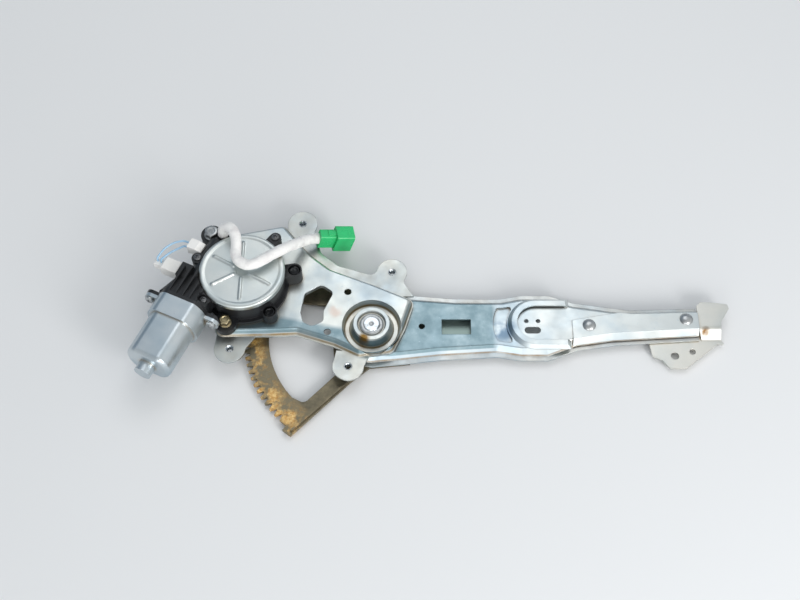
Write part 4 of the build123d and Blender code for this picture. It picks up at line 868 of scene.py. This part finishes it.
def make_weld_nuts():
    """Weld nuts under the ears: a flange, a collar up through the ear, and a threaded bore."""
    boxes = solid_boxes("weld_nuts")
    low, high = boxes[0]
    top = (high.z - low.z) / MM
    thread = []
    level = 0.0
    while level < top + NUT_COLLAR - THREAD_PITCH / 2:
        thread += [(THREAD_R, level), (THREAD_R + THREAD_DEPTH, level + THREAD_PITCH / 2)]
        level += THREAD_PITCH
    thread.append((THREAD_R + 0.2, top + NUT_COLLAR))
    collar = [(NUT_COLLAR_R - 0.15, top + NUT_COLLAR), (NUT_COLLAR_R, top + NUT_COLLAR - 0.2),
              (NUT_COLLAR_R, top)]
    flange = [(NUT_FLANGE_R - 0.4, top), (NUT_FLANGE_R, top - 0.4), (NUT_FLANGE_R, 0.4),
              (NUT_FLANGE_R - 0.4, 0.0)]
    bm = bmesh.new()
    turned(bm, thread + collar + flange, 40, closed=True)
    seats = [Vector(((a.x + b.x) / 2, (a.y + b.y) / 2, a.z)) for a, b in boxes]
    nut = finished("head", bm, smooth_degrees=50)
    piece = set_on("threaded_weld_nuts", nut, seats, FINISHES["bright"])
    hand_over(piece, "weld_nuts", "base")


# ---------------------------------------------------------------- the pivot pin's peened end
PEEN_HEIGHT = 1.8        # how high the pin's end stands over the crater's floor
PEEN_R = 9.8
PEEN_RING_RADII = (0.0, 0.8, 1.6, 2.2, 2.8, 3.6, 4.4, 5.2, 6.0, 6.8, 7.6, 8.4, 9.0, 9.5, PEEN_R)
PEEN_PETALS = 6


def peened_height(radius, angle):
    """How far the peened end stands over the crater's floor: rim, dish, raised middle, dimple, petals."""
    rim = 1.5 * sqrt(max(1 - (max(radius - 7.8, 0) / 2.0) ** 2, 0))
    dish = -0.55 * eased((7.6 - radius) / 2.6)
    middle = 0.75 * eased((3.4 - radius) / 0.9)
    dimple = -0.6 * eased((1.7 - radius) / 0.8)
    floor_share = eased((radius - 3.2) / 1.0) * eased((8.2 - radius) / 1.4)
    petals = 0.07 * sin(PEEN_PETALS * angle + 0.6) * floor_share
    return 0.05 + rim + dish + middle + dimple + petals


def make_peened_head():
    """The pivot pin's end, spread over the crater's floor by an orbiting punch."""
    sides = 96
    _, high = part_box("pivot_pin")
    floor = high.z / MM - PEEN_HEIGHT
    bm = bmesh.new()
    rows = []
    for radius in PEEN_RING_RADII:
        rows.append(ring_of(bm, sides, lambda angle: (
            radius * cos(angle) * MM, radius * sin(angle) * MM,
            (floor + peened_height(radius, angle)) * MM)))
    rows.append(ring_of(bm, sides, lambda angle: (
        PEEN_R * cos(angle) * MM, PEEN_R * sin(angle) * MM, (floor - 0.02) * MM)))
    skin(bm, rows)
    bm.faces.new(rows[-1])
    piece = finished("peened_pin_end", bm, FINISHES["fastener"])
    hand_over(piece, None, "base")


# ---------------------------------------------------------------- the pressed lid
LID_RIBS = 6
LID_FIRST_RIB = radians(30)
RIB_FROM = 6.0
RIB_TO = 27.5
RIB_WIDTH = 3.4
RIB_HEIGHT = 1.0
RIB_FLANK = 0.36         # the share of a rib's width that each flank takes
LID_STEP_R = 29.6
LID_STEP = 0.45
LID_HUB_R = 5.2
LID_HUB_DEPTH = 0.35
LID_GAUGE = 1.2
LID_BEND = 2.2
LID_RING_GAP = 0.62
LID_MIDDLE_R = 0.4


def lid_height(radius, angle):
    """How far the lid's face stands over its flat level: radial ribs, a sunk hub and a step by the edge."""
    sector = 2 * pi / LID_RIBS
    off = (angle - LID_FIRST_RIB + sector / 2) % sector - sector / 2
    aside = abs(radius * sin(off))
    along = radius * cos(off)
    past = max(RIB_FROM + RIB_WIDTH / 2 - along, along - RIB_TO + RIB_WIDTH / 2, 0.0)
    from_rib = sqrt(aside ** 2 + past ** 2)
    rib = eased((RIB_WIDTH / 2 - from_rib) / (RIB_WIDTH * RIB_FLANK)) * RIB_HEIGHT
    step = LID_STEP * (eased((radius - LID_STEP_R) / 1.4) - 1)
    hub = -LID_HUB_DEPTH * eased((LID_HUB_R - radius) / 1.2)
    return rib + hub + step


def make_lid():
    """The lid as one pressed sheet, with ribs, a rounded rim and a skirt."""
    sides = 288
    bend_steps = 6
    low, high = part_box("gear_cover")
    bottom = low.z / MM
    flat = high.z / MM - RIB_HEIGHT
    outer = (high.x - low.x) / 2 / MM
    face_r = outer - LID_BEND

    bm = bmesh.new()
    rows = []

    def lid_ring(radius, height_at):
        rows.append(ring_of(bm, sides, lambda angle: (
            WHEEL_POINT.x + radius * cos(angle) * MM, WHEEL_POINT.y + radius * sin(angle) * MM,
            height_at(angle) * MM)))

    gaps = int((face_r - LID_MIDDLE_R) / LID_RING_GAP)
    radii = [LID_MIDDLE_R + LID_RING_GAP * step for step in range(gaps + 1)]
    for radius in radii + [face_r]:
        lid_ring(radius, lambda angle: flat + lid_height(radius, angle))
    for step in range(1, bend_steps + 1):
        turn = radians(90) * step / bend_steps
        lid_ring(face_r + LID_BEND * sin(turn), lambda angle: flat - LID_BEND + LID_BEND * cos(turn))
    for radius, height in ((outer, bottom + 0.3), (outer - 0.3, bottom), (outer - LID_GAUGE, bottom),
                           (outer - LID_GAUGE, flat - LID_BEND), (face_r, flat - LID_GAUGE)):
        lid_ring(radius, lambda angle: height)
    skin(bm, rows)
    bm.faces.new(rows[0])
    bm.faces.new(rows[-1])
    piece = finished("pressed_lid", bm, FINISHES["cover"])
    hand_over(piece, "gear_cover", "base")


make_mount_bolts()
make_cover_screws()
make_can_screws()
make_arm_rivets()
make_weld_nuts()
make_lid()
make_peened_head()
